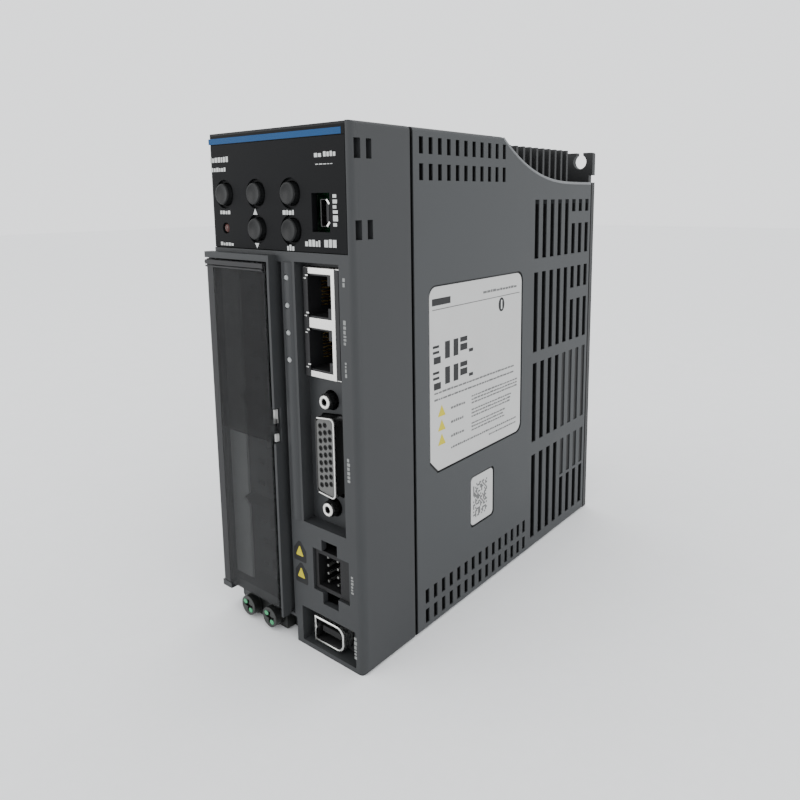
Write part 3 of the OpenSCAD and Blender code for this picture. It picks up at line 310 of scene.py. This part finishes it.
def dashes(start, end, across, thick, seed, upright=False, word=(0.5, 1.3), gap=0.35):
    """A row of short bars of random length and height on one foot line between start
    and end, as a printed line looks from afar. upright turns the row to run along v."""
    random = np.random.default_rng(seed)
    count = int((end - start) / (sum(word) / 2 + gap)) + 2
    lengths = random.uniform(*word, count)
    starts = start + np.concatenate([[0], np.cumsum(lengths + gap)[:-1]])
    kept = starts + lengths < end + 0.2
    middles, lengths = (starts + lengths / 2)[kept], lengths[kept]
    lowest = 0.7
    heights = thick * random.uniform(lowest, 1, len(middles))
    level = across - (thick - heights) / 2
    if upright:
        return bars(np.stack([level, middles], -1), heights, lengths)
    return bars(np.stack([middles, level], -1), lengths, heights)


def ink(name, outlines, near, far, facing, material, slot, body="drive"):
    """Raised print: all outlines, each a set of prisms, in one piece."""
    points, faces = [], []
    for outline in outlines:
        some, polygons = prisms(outline, near, far, facing)
        base = sum(len(p) for p in points)
        points.append(some)
        faces += [[corner + base for corner in polygon] for polygon in polygons]
    return add_piece(name, np.concatenate(points), faces, material, slot, body)


key_x = (-23.9, -8.5, 6.9)
key_z = (141.3, 130.8)
ink_t = 0.04
blue_band = painted("blue_band", (0.003, 0.05, 0.15), 0.5, grain_mm=0.2, grain_depth=0.004, mottle=0.08,
                    gloss=0.15)
ink("accent_band", [bars((-1.35, 157.5), 58.9, 1.75)], -ink_t, 0, "front", blue_band, "stripe")
pale_ink = painted("pale_ink", (0.5, 0.51, 0.5), 0.6, grain_mm=0.15, grain_depth=0.004, mottle=0.25)
up_mark = [[(-9.0, 136.9), (-10.0, 135.1), (-8.0, 135.1)]]
down_mark = [[(-8.8, 125.0), (-7.8, 126.6), (-9.8, 126.6)]]
ink("keypad_legends", [
    dashes(-30.4, -20.8, 152.0, 1.8, 3, word=(0.7, 1.5), gap=0.35),
    dashes(-30.2, -21.6, 148.9, 1.3, 4, word=(0.6, 1.2), gap=0.35),
    dashes(17.6, 20.4, 151.6, 1.4, 5, word=(0.8, 1.3)),
    dashes(21.2, 26.4, 151.7, 1.5, 6, word=(0.7, 1.2)),
    dashes(18.0, 25.6, 149.0, 0.25, 7, word=(0.6, 1.4)),
    dashes(-26.4, -21.4, 135.8, 1.3, 8), dashes(-27.0, -20.0, 125.9, 1.1, 9),
    dashes(3.6, 8.6, 135.9, 1.4, 10), dashes(5.0, 8.4, 125.8, 1.7, 11, word=(0.6, 1.0)),
    up_mark, down_mark,
    dashes(132.2, 141.4, 25.3, 1.9, 12, upright=True, word=(0.7, 1.6), gap=0.5),
    dashes(12.8, 19.6, 127.4, 1.9, 13, word=(0.6, 1.2)), dashes(20.6, 26.8, 127.6, 2.3, 14, word=(0.9, 1.6)),
], -ink_t, 0, "front", pale_ink, "panel")

# ---- Keys: five turned caps of soft-touch black plastic. Each has a shallow dish in
# its face and a rolled edge, and is pressed 0.7 mm against its switch.


def turned(profile, x, z, steps=48):
    """A surface of revolution about a line along the depth through x, z: every point
    of profile, a radius and a depth, is carried round the full circle."""
    radius, depth = np.asarray(profile, float).T[..., None]
    angle = np.arange(steps) * 2 * np.pi / steps
    across, upwards = x + radius * np.cos(angle), z + radius * np.sin(angle)
    return in_frame(across, upwards, depth + 0 * angle, "front")


def grid_faces(rows, columns):
    """The four-cornered faces of a grid of points whose last column meets its first."""
    row, column = np.meshgrid(np.arange(rows - 1), np.arange(columns), indexing="ij")
    ahead = (column + 1) % columns
    here, below = row * columns, (row + 1) * columns
    corners = [here + column, here + ahead, below + ahead, below + column]
    return np.stack(corners, -1).reshape(-1, 4).tolist()


def add_turned(name, profile, places, material, slot, body="drive", replaced=(), steps=48):
    """The same turned shape at each x, z of places, in one piece."""
    points = np.stack([turned(profile, x, z, steps) for x, z in places])
    one = np.array(grid_faces(len(profile), steps))
    first = np.arange(len(places))[:, None, None] * len(profile) * steps
    faces = (one + first).reshape(-1, 4).tolist()
    return add_piece(name, points, faces, material, slot, body, True, replaced)


cap_black = painted("cap_black", (0.006, 0.0063, 0.0066), 0.3, grain_mm=0.2, grain_depth=0.004, mottle=0.2,
                    gloss=0.16)
cap_profile = [(0, -0.86), (1.2, -0.92), (2.2, -1.08), (2.6, -1.17), (2.85, -1.2), (3.06, -1.13),
               (3.2, -0.95), (3.28, -0.6), (3.3, 2.05), (3.9, 2.06), (3.9, 2.84), (1.2, 2.85), (1.2, 4.59),
               (0, 4.6)]
for name, column, row in (("mode", 0, 0), ("up", 1, 0), ("shift", 2, 0), ("down", 1, 1), ("set", 2, 1)):
    add_turned(name + "_cap", cap_profile, [(key_x[column], key_z[row])], cap_black, "key", name + "_key",
               ["button_" + name])

# ---- Lights: a dark red charge lamp in the panel, and four clear light pipes whose
# domed ends stand on the pillar. The display sits behind the panel's dark film.

lens_red = painted("lens_red", (0.05, 0.012, 0.008), 0.15, grain_mm=0.6, grain_depth=0.002, mottle=0.3)
lens_profile = [(0, 0.1), (0.7, 0.16), (1.2, 0.34), (1.45, 0.62), (1.5, 1.0), (1.5, 7.95), (0, 8)]
add_turned("charge_lens", lens_profile, [(key_x[0], key_z[1])], lens_red, "red_lens",
           replaced=["charge_light"])
pipe_clear = painted("pipe_clear", (0.28, 0.29, 0.29), 0.25, grain_mm=0.3, grain_depth=0.003, mottle=0.15)
pipe_profile = [(0, -0.95), (0.4, -0.9), (0.72, -0.76), (0.86, -0.55), (0.9, -0.3), (0.9, 9.95), (0, 10)]
pipe_x, pipe_top, pipe_pitch = 4.6, 117.0, 8.2
pipe_places = [(pipe_x, pipe_top - pipe_pitch * i) for i in range(4)]
add_turned("pipe_domes", pipe_profile, pipe_places, pipe_clear, "light_pipe", replaced=["status_light_pipes"],
           steps=28)


def dressed(material, *nodes):
    """Gives CAD nodes that stay as they are the finish they need."""
    for node in nodes:
        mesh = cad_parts[node].data
        mesh.materials.clear()
        mesh.materials.append(material)


dressed(painted("display_red", (0.03, 0.008, 0.007), 0.2, grain_mm=0.5, grain_depth=0.003), "segment_display")
solder_mask = painted("solder_mask", (0.015, 0.09, 0.035), 0.35, grain_mm=0.7, grain_depth=0.01, mottle=0.3)
dressed(solder_mask, "display_board")
# Real plate on most parts; on the setup port's two corners it stands as a painted glint.
plated_steel = painted("plated_steel", (0.62, 0.62, 0.6), 0.28, grain_mm=0.25, grain_depth=0.006, mottle=0.15,
                       metallic=1.0, stretch=(1, 1, 0.15))
dressed(plated_steel, "key_switches")

# ---- Setup port: a folded mouth coloured dark as painted shade, with painted glints in
# bright plate on its two bevelled corners, set back in its opening round a black tongue.


def carried(outline, section):
    """A closed outline carried along a section. Each row of the grid is the outline
    moved outwards along its own normals by the section's first number, at the depth
    that is its second. The normal halves the turn between the two edges at a corner."""
    outline = np.asarray(outline, float)
    edge = np.roll(outline, -1, 0) - outline
    edge /= np.linalg.norm(edge, axis=1, keepdims=True)
    normal = np.stack([edge[:, 1], -edge[:, 0]], -1)
    before = np.roll(normal, 1, 0)
    mitre = (normal + before) / (1 + (normal * before).sum(1, keepdims=True))
    outset, depth = np.asarray(section, float).T
    ring = outline[None] + outset[:, None, None] * mitre[None]
    depths = np.broadcast_to(depth[:, None], ring.shape[:2])
    return in_frame(ring[..., 0], ring[..., 1], depths, "front")


def add_carried(name, outline, section, material, slot, **more):
    """A tube or shell piece: the outline carried along the section, which returns to
    its start, so the wall has two faces and a rim."""
    path = [*section, section[0]]
    faces = grid_faces(len(path), len(outline))
    return add_piece(name, carried(outline, path), faces, material, slot, **more)


def rounded(corners, radius, steps=5):
    """Corners of an outline, anticlockwise, each replaced by an arc. radius is one
    number or one for each corner. An arc starts and ends where a circle of that
    radius touches the two edges, and its points are spread over it evenly."""
    corners = np.asarray(corners, float)
    radius = np.broadcast_to(np.asarray(radius, float), len(corners))[:, None]
    back = np.roll(corners, 1, 0) - corners
    ahead = np.roll(corners, -1, 0) - corners
    back /= np.linalg.norm(back, axis=1, keepdims=True)
    ahead /= np.linalg.norm(ahead, axis=1, keepdims=True)
    half = np.arccos(np.clip((back * ahead).sum(1, keepdims=True), -1, 1)) / 2
    middle = (back + ahead) / np.linalg.norm(back + ahead, axis=1, keepdims=True)
    centre = corners + middle * radius / np.sin(half)
    start = corners + back * radius / np.tan(half) - centre
    end = corners + ahead * radius / np.tan(half) - centre
    share = np.linspace(0, 1, steps)[None, :, None]
    arc = start[:, None] * (1 - share) + end[:, None] * share
    arc *= radius[:, :, None] / np.maximum(np.linalg.norm(arc, axis=2, keepdims=True), 1e-9)
    return (centre[:, None] + arc).reshape(-1, 2)


port_corners = [(18.05, 131.95), (20.9, 131.95), (21.95, 133.2), (21.95, 138.4), (20.9, 139.65),
                (18.05, 139.65)]
port_outline = rounded(port_corners, (0.4, 0.3, 0.3, 0.3, 0.3, 0.4))
port_section = [(0, 7.9), (0, 1.42), (-0.08, 1.3), (-0.22, 1.3), (-0.3, 1.42), (-0.3, 7.4)]
# Painted shade: nickel coloured near black for metal that lies in shade, on the port mouth, the signal shell
# and the jack screws.
painted_shade_nickel = painted("painted_shade_nickel", (0.05, 0.05, 0.05), 0.3, grain_mm=0.25, grain_depth=0.004,
                       metallic=0.9)
add_carried("port_mouth", port_outline, port_section, painted_shade_nickel, "plated_steel", replaced=["usb_shell"])
# Painted glints: two small bright plates on the mouth's bevelled corners.
corner_glints = [[(20.9, 131.95), (21.95, 133.2), (21.5, 133.5), (20.45, 132.25)],
                  [(20.9, 139.65), (20.45, 139.35), (21.5, 138.1), (21.95, 138.4)]]
fold_front, fold_back = 1.15, 1.32
ink("port_corners", [corner_glints], fold_front, fold_back, "front", plated_steel, "plated_steel")
black_moulding = painted("black_moulding", (0.012, 0.012, 0.013), 0.5, grain_mm=0.2, grain_depth=0.01,
                         mottle=0.25)
dressed(black_moulding, "usb_tongue")

# ---- Network jacks: two sockets in one plated steel shield with a bright front frame,
# a black guard with sprung fingers at the latch side, and gold wires in a black insert.

# Real bright plate on the jack frame; on the signal shell's lip and the jack screws' faces it is a painted
# highlight.
bright_frame_and_highlight = painted("bright_frame_and_highlight", (0.8, 0.79, 0.76), 0.3, grain_mm=0.2, grain_depth=0.004, mottle=0.1,
                       metallic=0.75, stretch=(1, 1, 0.2))
eased("jack_shield", "jack_frame", 0.12, bright_frame_and_highlight)
dressed(black_moulding, "jack_insert")
gold_flash = painted("gold_flash", (0.75, 0.55, 0.2), 0.3, grain_mm=0.15, grain_depth=0.003, mottle=0.15,
                     metallic=1.0)
dressed(gold_flash, "jack_contacts")
finger_d, guard_d, frame_d = 1.9, 2.02, 2.18
guard = bars((9.85, 104.0), 1.9, 32.2)
ink("latch_guard", [guard], guard_d, frame_d, "front", black_moulding, "black_plastic")
finger_x, finger_z, finger_step = 9.7, (90.6, 101.0, 106.0, 117.0), 0.9
fingers = bars([(finger_x + side, z + side) for z in finger_z for side in (0, finger_step)], 1.1, 0.4)
ink("shield_fingers", [fingers], finger_d, guard_d, "front", plated_steel, "plated_steel")

# ---- Signal socket: a D-shaped drawn shell coloured dark as painted shade, whose rolled
# front edge carries a painted highlight in bright plate on the three sides turned to the
# light, a grey insert with three rows of countersunk contacts whose countersinks are
# painted near black as shade, and two hex jack screws, dark as painted shade, with
# turned faces bright as a painted highlight and threaded bores.

signal_x, signal_z = 16.9, 64.4
signal_half_w, signal_half_h, slant = 4.1, 12.5, 0.9
d_left, d_right = signal_x - signal_half_w, signal_x + signal_half_w
d_low, d_high = signal_z - signal_half_h, signal_z + signal_half_h
d_corners = [(d_left, d_low + slant), (d_right, d_low), (d_right, d_high), (d_left, d_high - slant)]
arc_steps = 8
d_outline = rounded(d_corners, (1.2, 1.6, 1.6, 1.2), arc_steps)
shell_section = [(0, 6.0), (0, 1.3), (-0.08, 1.08), (-0.25, 1.0), (-0.42, 1.08), (-0.5, 1.3), (-0.5, 6.9),
                 (0.3, 7.0), (0.3, 6.0)]
# Painted shade: the shell is coloured dark nickel.
add_carried("signal_sleeve", d_outline, shell_section, painted_shade_nickel, "plated_steel", smooth=True,
            replaced=["signal_shell"])
# The painted highlight on the lip runs from the end of the first corner's arc to the start
# of the last one's, so the left side, away from the light, stays dark.
lip_wall, lip_front, lip_back = 0.38, 0.9, 1.6
outer, inner = (carried(d_outline, [(step, 0)])[0][:, [0, 2]] for step in (0, -lip_wall))
seen = slice(arc_steps - 1, 3 * arc_steps + 1)
lip = np.concatenate([outer[seen], inner[seen][::-1]])
ink("signal_lip_highlight", [[lip]], lip_front, lip_back, "front", bright_frame_and_highlight, "plated_steel")
contact_body = painted("contact_body", (0.09, 0.09, 0.087), 0.45, grain_mm=0.25, grain_depth=0.006,
                       mottle=0.2)
dressed(contact_body, "signal_insert")
contact_profile = [(0, 4.1), (0.22, 4.12), (0.42, 4.3), (0.45, 4.5), (0.45, 4.9), (0, 4.95)]
contact_pitch = 2.29
contact_rows = ((-2, 9, 0), (0, 9, 0.57), (2, 8, 0))
row_places = [(signal_x + column, signal_z + (i - (count - 1) / 2) * contact_pitch + shift)
              for column, count, shift in contact_rows for i in range(count)]
add_turned("signal_contacts", contact_profile, row_places, gold_flash, "gold", steps=10)
deep_black = painted("deep_black", (0.006, 0.006, 0.0065), 0.6, grain_mm=0.25, grain_depth=0.01, mottle=0.3)
# Painted shade: the countersinks round the contacts are near black, darker than the grey insert around them.
mouth_profile = [(0.5, 1.6), (0.55, 1.3), (0.84, 1.28), (0.86, 1.31), (0.6, 1.6), (0.5, 1.6)]
add_turned("contact_mouths", mouth_profile, row_places, deep_black, "black_plastic", steps=16)
hex_r, jack_screw_pitch = 2.5, 33.3
hex_angle = np.arange(6) * np.pi / 3
hex_section = [(0, 6.0), (0, 2.0), (-0.25, 1.5), (-0.9, 1.4), (-1.35, 1.45), (-1.37, 5.2), (-0.9, 5.3),
               (-0.9, 6.0)]
screw_places = [(signal_x, signal_z + side * jack_screw_pitch / 2) for side in (1, -1)]
# Painted shade and painted highlight: the hex bodies are dark nickel, their turned faces bright plate.
for name, (x, z) in zip(("upper_jack_screw", "lower_jack_screw"), screw_places):
    outline = np.stack([x + hex_r * np.cos(hex_angle), z + hex_r * np.sin(hex_angle)], -1)
    add_carried(name, outline, hex_section, painted_shade_nickel, "plated_steel", replaced=["jack_screws"])
face_profile = [(1.14, 1.7), (1.14, 1.3), (1.25, 1.18), (1.5, 1.12), (1.85, 1.2), (2.08, 1.42), (2.1, 1.7),
                (1.14, 1.7)]
add_turned("jack_screw_face_highlights", face_profile, screw_places, bright_frame_and_highlight, "plated_steel", steps=32)

# ---- Safety socket: a stepped black header with eight tinned pins in two columns, and
# two small yellow triangles on dark backings beside it.

dressed(deep_black, "safety_header")
tinned_pins = painted("tinned_pins", (0.2, 0.2, 0.19), 0.4, grain_mm=0.15, grain_depth=0.003, metallic=0.9)
dressed(tinned_pins, "safety_pins")
caution_places = ((5.2, 31.4), (5.6, 24.2))
backing_corners = np.array([(-2.7, -3.3), (2.9, -3.3), (2.9, 0.6), (0.5, 3.3), (-0.5, 3.3), (-2.7, 0.6)])
backings = [rounded(backing_corners + place, 0.5) for place in caution_places]
ink("caution_backings", [backings], -ink_t, 0, "front", deep_black, "panel")
caution_yellow = painted("caution_yellow", (0.42, 0.36, 0.01), 0.5, grain_mm=0.2, grain_depth=0.004,
                         mottle=0.15)
triangle_corners = np.array([(-1.7, -1.5), (1.7, -1.5), (0, 2.0)])
triangles = [rounded(triangle_corners + place, 0.25) for place in caution_places]
ink("caution_triangles", [triangles], -2 * ink_t, -ink_t, "front", caution_yellow, "legend")

# ---- Encoder socket: a plated shell, square on one side and round shouldered on the
# other, with a thick bright rim, a black liner and a black insert.

e_left, e_right, e_low, e_high = 9.3, 22.3, 2.4, 10.8
e_corners = [(e_left, e_low), (e_right, e_low), (e_right, e_high), (e_left, e_high)]
e_outline = rounded(e_corners, (0.4, 3.0, 3.0, 0.4), arc_steps)
e_section = [(0, 14.9), (0, 1.4), (-0.12, 1.2), (-0.6, 1.15), (-0.75, 1.3), (-0.8, 1.6), (-0.8, 14.9)]
add_carried("encoder_mouth", e_outline, e_section, plated_steel, "plated_steel", smooth=True,
            replaced=["encoder_shell"])
liner_section = [(-0.81, 1.7), (-1.0, 1.9), (-1.0, 10.9), (-0.81, 10.9)]
add_carried("encoder_liner", e_outline, liner_section, deep_black, "black_plastic", smooth=True)
dressed(deep_black, "encoder_insert")

# ---- Legends of the front: small raised marks, duller than the keypad's print, in one
# column down the right rim.

dull_ink = painted("dull_ink", (0.2, 0.205, 0.2), 0.6, grain_mm=0.15, grain_depth=0.004, mottle=0.25)
ink("socket_legends", [
    dashes(115.8, 119.4, 27.7, 0.9, 21, upright=True),
    dashes(99.6, 107.4, 27.7, 1.2, 22, upright=True),
    dashes(90.4, 95.0, 27.7, 0.7, 23, upright=True),
    dashes(59.6, 68.0, 27.7, 1.1, 24, upright=True),
    dashes(25.2, 32.0, 27.9, 1.0, 25, upright=True),
    dashes(4.6, 12.8, 28.6, 1.1, 26, upright=True),
], -ink_t, 0, "front", dull_ink, "housing")

# ---- Terminal cover: a long smoked flap that swings open to the left, with a black hinge
# spine and top rail, a dark film on its upper part and a latch tab at the right.

barrel_x, barrel_d, barrel_r = -30.4, -1.4, 1.6
cover_x1, cover_d0, cover_d1 = -2.2, -3.0, -1.4
cover_z0, cover_z1 = 10.6, 121.1
bend = np.radians(np.linspace(0, 270, 28))


def barrel_arc(radius):
    """Three quarters of a circle of that radius round the hinge line, seen from above."""
    return np.stack([barrel_x + radius * np.cos(bend), barrel_d + radius * np.sin(bend)], -1)


round_edge = np.array([(cover_x1 - 0.5, cover_d0), (cover_x1 - 0.15, cover_d0 + 0.15),
                       (cover_x1, cover_d0 + 0.5), (cover_x1, cover_d1 - 0.3), (cover_x1 - 0.3, cover_d1)])
cover_outline = np.concatenate([barrel_arc(barrel_r), round_edge])
smoked = painted("smoked_sheet", (0.016, 0.0165, 0.017), 0.25, grain_mm=1.2, grain_depth=0.004, mottle=0.15,
                 gloss=0.2)
smoked.node_tree.nodes["Principled BSDF"].inputs["Alpha"].default_value = 0.55
tab_z0, tab_z1 = 69.0, 73.4
flap, flap_faces = prisms([cover_outline], cover_z0, cover_z1, "above")
rib, rib_faces = prisms(bars((-4.2, -0.1), 1.4, 2.6), cover_z0 + 1, cover_z1 - 0.6, "above")
tab, tab_faces = prisms(bars((-1.4, -2.4), 1.7, 1.2), tab_z0, tab_z1, "above")
cover_points = np.concatenate([flap, rib, tab])
cover_faces = flap_faces + [[c + len(flap) for c in f] for f in rib_faces]
cover_faces += [[c + len(flap) + len(rib) for c in f] for f in tab_faces]
add_piece("cover_flap", cover_points, cover_faces, smoked, "smoked_cover", "cover",
          replaced=["terminal_cover"])
upper_film = painted("upper_film", (0.004, 0.0042, 0.0045), 0.3, grain_mm=1.0, grain_depth=0.003, mottle=0.1,
                     gloss=0.15)
upper_film.node_tree.nodes["Principled BSDF"].inputs["Alpha"].default_value = 0.35
film_d0, film_d1 = cover_d0 - 0.03, cover_d0 + 0.01
film = bars((-15.4, 92.6), 24.6, 53.4)
ink("cover_film", [film], film_d0, film_d1, "front", upper_film, "smoked_cover", "cover")
spine_x1, spine_d, spine_t = -27.7, -2.9, 0.05
spine_end = [(spine_x1, cover_d0 - spine_t), (spine_x1, spine_d), (barrel_x, spine_d)]
spine = np.concatenate([barrel_arc(1.03 * barrel_r), spine_end])
spine_points, spine_faces = prisms([spine], cover_z0 - spine_t, cover_z1 + spine_t, "above")
add_piece("cover_spine", spine_points, spine_faces, black_moulding, "smoked_cover", "cover")
rail_z = 120.2
rail_d0, rail_d1 = cover_d0 - 0.7, cover_d0 + 0.1
rail = bars([(-16.6, rail_z), (-16.8, 118.9)], (28.6, 28.2), (1.4, 0.5))
ink("cover_rail", [rail], rail_d0, rail_d1, "front", black_moulding, "smoked_cover", "cover")
knob_x = -31.0
knob_profile = [(0, -3.6), (0.4, -3.57), (0.62, -3.4), (0.7, -3.1), (0.7, -1.5), (0, -1.4)]
add_turned("cover_knob", knob_profile, [(knob_x, rail_z)], deep_black, "smoked_cover", "cover", steps=24)
dressed(black_moulding, "hinge_pins")
latch_white = painted("latch_white", (0.4, 0.4, 0.39), 0.4, grain_mm=0.3, grain_depth=0.004, mottle=0.1)
leaf_front, leaf_back = -2.1, -0.9
latch_leaves = bars([(-1.8, 73.9), (-1.6, 67.2)], 0.75, (4.4, 2.4))
ink("latch_leaves", [latch_leaves], leaf_front, leaf_back, "front", latch_white, "plated_steel")

# ---- Power terminals: three pluggable terminal blocks in the bay behind the cover, with
# their headers and cage clamps, and a pale printed strip beside them.

plug_grey = painted("plug_grey", (0.035, 0.036, 0.038), 0.45, grain_mm=0.3, grain_depth=0.01, mottle=0.15)
dressed(plug_grey, "motor_plug", "bus_plug", "supply_plug")
dressed(black_moulding, "terminal_headers")
dressed(plated_steel, "wire_clamps")
legend_card = painted("legend_card", (0.6, 0.62, 0.62), 0.6, grain_mm=0.4, grain_depth=0.005, mottle=0.08)
dressed(legend_card, "terminal_legend")

# ---- Ground terminals: a dark zinc strip under the bay with two cross-recessed pan head
# screws, their heads daubed with green.

dark_zinc = painted("dark_zinc", (0.05, 0.052, 0.05), 0.35, grain_mm=0.4, grain_depth=0.006, mottle=0.3,
                    metallic=0.8)
dressed(dark_zinc, "ground_plate", "ground_washers")
eased("ground_screws", "ground_screw_heads", 0.35, dark_zinc)
ground_x, ground_z = (-20.0, -9.0), 4.2
daub_angle = np.radians(np.arange(0, 360, 36))
daub = np.stack([0.95 * np.cos(daub_angle), 0.75 * np.sin(daub_angle)], -1)
daubs = [daub + (x + side * 1.3, ground_z - side * 1.2) for x in ground_x for side in (-1, 1)]
ground_green = painted("ground_green", (0.05, 0.3, 0.13), 0.5, grain_mm=0.3, grain_depth=0.01, mottle=0.3)
daub_front, daub_back = -2.1, -1.95
ink("ground_daubs", [daubs], daub_front, daub_back, "front", ground_green, "legend")

# ---- Heat sink: a die casting with its mounting flange, wall and fins, in a dark powder
# coat whose colour is also darkened as painted shade, with the countersunk screws that
# hold the housing to it.

# Painted shade: partly the coat's own dark colour, partly made darker for the shade among the fins.
cast_coat_and_shade = painted("cast_coat_and_shade", (0.018, 0.0185, 0.019), 0.5, grain_mm=0.45, grain_depth=0.03, mottle=0.15)
eased("heat_sink", "sink_casting", 0.2, cast_coat_and_shade)
zinc_plate = painted("zinc_plate", (0.42, 0.43, 0.42), 0.35, grain_mm=0.5, grain_depth=0.006, mottle=0.3,
                     metallic=1.0)
dressed(zinc_plate, "sink_screws", "module_screws", "board_screws")
dressed(black_moulding, "power_module")
dressed(painted("silicone_pad", (0.28, 0.3, 0.33), 0.8, grain_mm=0.6, grain_depth=0.02), "thermal_pad")

# ---- Swoop bead: the housing's rolled edge where its top falls away over the fins, on
# both sides: a circle carried along the fall, which starts steep and levels off, and
# closed to a point at each end. It is coloured lighter than the housing as a painted
# highlight along the edge.

swoop_start, swoop_end = 73.6, 142.2
swoop_length, swoop_fall, swoop_power = 56.0, 14.8, 2.7
bead_r, bead_x, bead_steps, bead_sink = 0.6, 31.6, 12, 0.3
run = np.linspace(swoop_start + 0.5, swoop_end, 70)
depth = np.concatenate([[swoop_start + 0.3], run, [swoop_end + 0.1]])
left_over = np.maximum(0, 1 - (depth - swoop_start) / swoop_length)
height = high.z * 1000 - swoop_fall * (1 - left_over ** swoop_power) - bead_sink
along = np.stack([np.gradient(depth), np.gradient(height)], -1)
along /= np.linalg.norm(along, axis=1, keepdims=True)
around = np.arange(bead_steps) * 2 * np.pi / bead_steps
swell = np.full((len(depth), 1), bead_r)
swell[[0, -1]] = 0
bead_depth = depth[:, None] - swell * np.cos(around) * along[:, 1:]
bead_height = height[:, None] + swell * np.cos(around) * along[:, :1]
# Painted highlight: the bead is a lighter grey than the housing.
bead_highlight_grey = painted("bead_highlight_grey", (0.13, 0.135, 0.14), 0.4, grain_mm=0.3, grain_depth=0.006, mottle=0.1)
for name, side in (("right_swoop_bead", 1), ("left_swoop_bead", -1)):
    grid = in_frame(bead_depth, bead_height, side * bead_x + swell * np.sin(around), "side")
    add_piece(name, grid, grid_faces(len(depth), bead_steps), bead_highlight_grey, "housing", smooth=True)

# ---- Boards: the control and power boards, their posts and what they carry, seen only
# through the vents.

dressed(solder_mask, "control_board", "power_board", "riser_board")
dressed(painted("epoxy_chips", (0.014, 0.014, 0.015), 0.55, grain_mm=0.2, grain_depth=0.01), "control_chips")
turned_brass = painted("turned_brass", (0.6, 0.42, 0.15), 0.3, grain_mm=0.3, grain_depth=0.004, metallic=1.0,
                       stretch=(0.2, 1, 1))
dressed(turned_brass, "board_posts")
polyester_sheet = painted("polyester_sheet", (0.5, 0.46, 0.3), 0.35, grain_mm=1.0, grain_depth=0.004)
dressed(polyester_sheet, "insulation_sheet")
dressed(painted("vinyl_sleeve", (0.014, 0.02, 0.045), 0.3, grain_mm=0.8, grain_depth=0.006), "bus_capacitors")
dressed(painted("relay_case", (0.6, 0.59, 0.55), 0.45, grain_mm=0.4, grain_depth=0.006), "relay")
enamel_wire = painted("enamel_wire", (0.4, 0.14, 0.05), 0.25, grain_mm=0.8, grain_depth=0.05, metallic=0.6,
                      stretch=(1, 0.3, 1))
dressed(enamel_wire, "choke")
dressed(painted("glazed_tube", (0.6, 0.58, 0.5), 0.25, grain_mm=0.6, grain_depth=0.004), "fuse")
dressed(painted("film_box", (0.5, 0.4, 0.06), 0.35, grain_mm=0.5, grain_depth=0.006), "filter_capacitors")

# ---- Fan: a black frame, a grey rotor and a dark wire guard at the bottom of the fin
# duct, seen only from below.

eased("fan_frame", "fan_housing", 0.15, black_moulding)
eased("fan_rotor", "fan_wheel", 0.1, plug_grey, "fan")
dressed(dark_zinc, "fan_guard")

# ---- Labels: a silver-grey polyester rating label in a shallow pocket, with plain bars
# and blocks for its print, and a small code label under it.

label_film = painted("label_film", (0.42, 0.42, 0.415), 0.45, grain_mm=0.5, grain_depth=0.003, mottle=0.04)
dressed(label_film, "rating_label", "code_label")
label_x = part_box("rating_label")[1].x * 1000
dark_ink = painted("dark_ink", (0.012, 0.012, 0.013), 0.6, grain_mm=0.15, grain_depth=0.003, mottle=0.3)
grey_ink = painted("grey_ink", (0.11, 0.11, 0.11), 0.6, grain_mm=0.15, grain_depth=0.003, mottle=0.3)
ring_angle = np.radians(np.arange(0, 360, 15))
ring_place = (73.6, 102.2)
ring = np.stack([1.9 * np.cos(ring_angle), 2.5 * np.sin(ring_angle)], -1) + ring_place
header = bars((38.5, 107.6), 9.6, 2.2)
marks = [header, [ring]]
for z in (91.6, 83.2):
    marks += [bars([(35.6, z + 1.8), (35.6, z), (36.2, z - 2.6)], (3.2, 3.2, 3.6), (0.8, 0.8, 2.2)),
              bars([(41.6, z), (46.2, z)], 2.6, 5.6),
              bars([(50.6, z + 2), (50.6, z - 0.6)], 4.0, (1.6, 2.2)),
              bars([(54.8, z - 2.4)], 2.4, 1.1)]
ink("rating_marks", marks, label_x, label_x + ink_t, "side", dark_ink, "label")
slit = bars(ring_place, 0.7, 3.2)
ink("ring_centre", [slit], label_x + ink_t, label_x + 2 * ink_t, "side", pale_ink, "label")
text_left, text_right = 43.4, 84.0
patch_z = (71.8, 67.0, 62.2)
lines = [bars((59.8, 105.2), 52.0, 0.28), dashes(62, text_right, 107.8, 0.9, 41, word=(0.8, 2.2))]
lines += [dashes(34.6, text_right, z, 0.7, 42 + i, word=(0.8, 2.4)) for i, z in enumerate((78.4, 76.2))]
for i, z in enumerate(patch_z):
    lines += [dashes(text_left, 51.6, z, 0.9, 50 + i)]
    lines += [dashes(55.2, 84.6 - 4 * i, z + step, 0.6, 60 + 3 * i + j, word=(0.7, 2.0))
              for j, step in enumerate((1.2, 0, -1.2))]
lines += [dashes(text_left, text_right, 58.2, 0.7, 71), dashes(66.0, text_right, 56.4, 0.6, 72)]
ink("rating_lines", lines, label_x, label_x + ink_t, "side", grey_ink, "label")
patches = [[(36.4, z - 1.5), (40.4, z - 1.5), (38.4, z + 2.2)] for z in patch_z]
ink("rating_patches", [patches], label_x, label_x + ink_t, "side", caution_yellow, "label")
cell, code_u, code_v, filled_share = 0.62, 56.6, 28.6, 0.52
columns, rows = np.meshgrid(np.arange(14), np.arange(20), indexing="ij")
filled = np.random.default_rng(31).random(columns.shape) < filled_share
cells = np.stack([code_u + cell * columns[filled], code_v + cell * rows[filled]], -1)
ink("code_cells", [bars(cells, cell, cell)], label_x, label_x + ink_t, "side", grey_ink, "label")
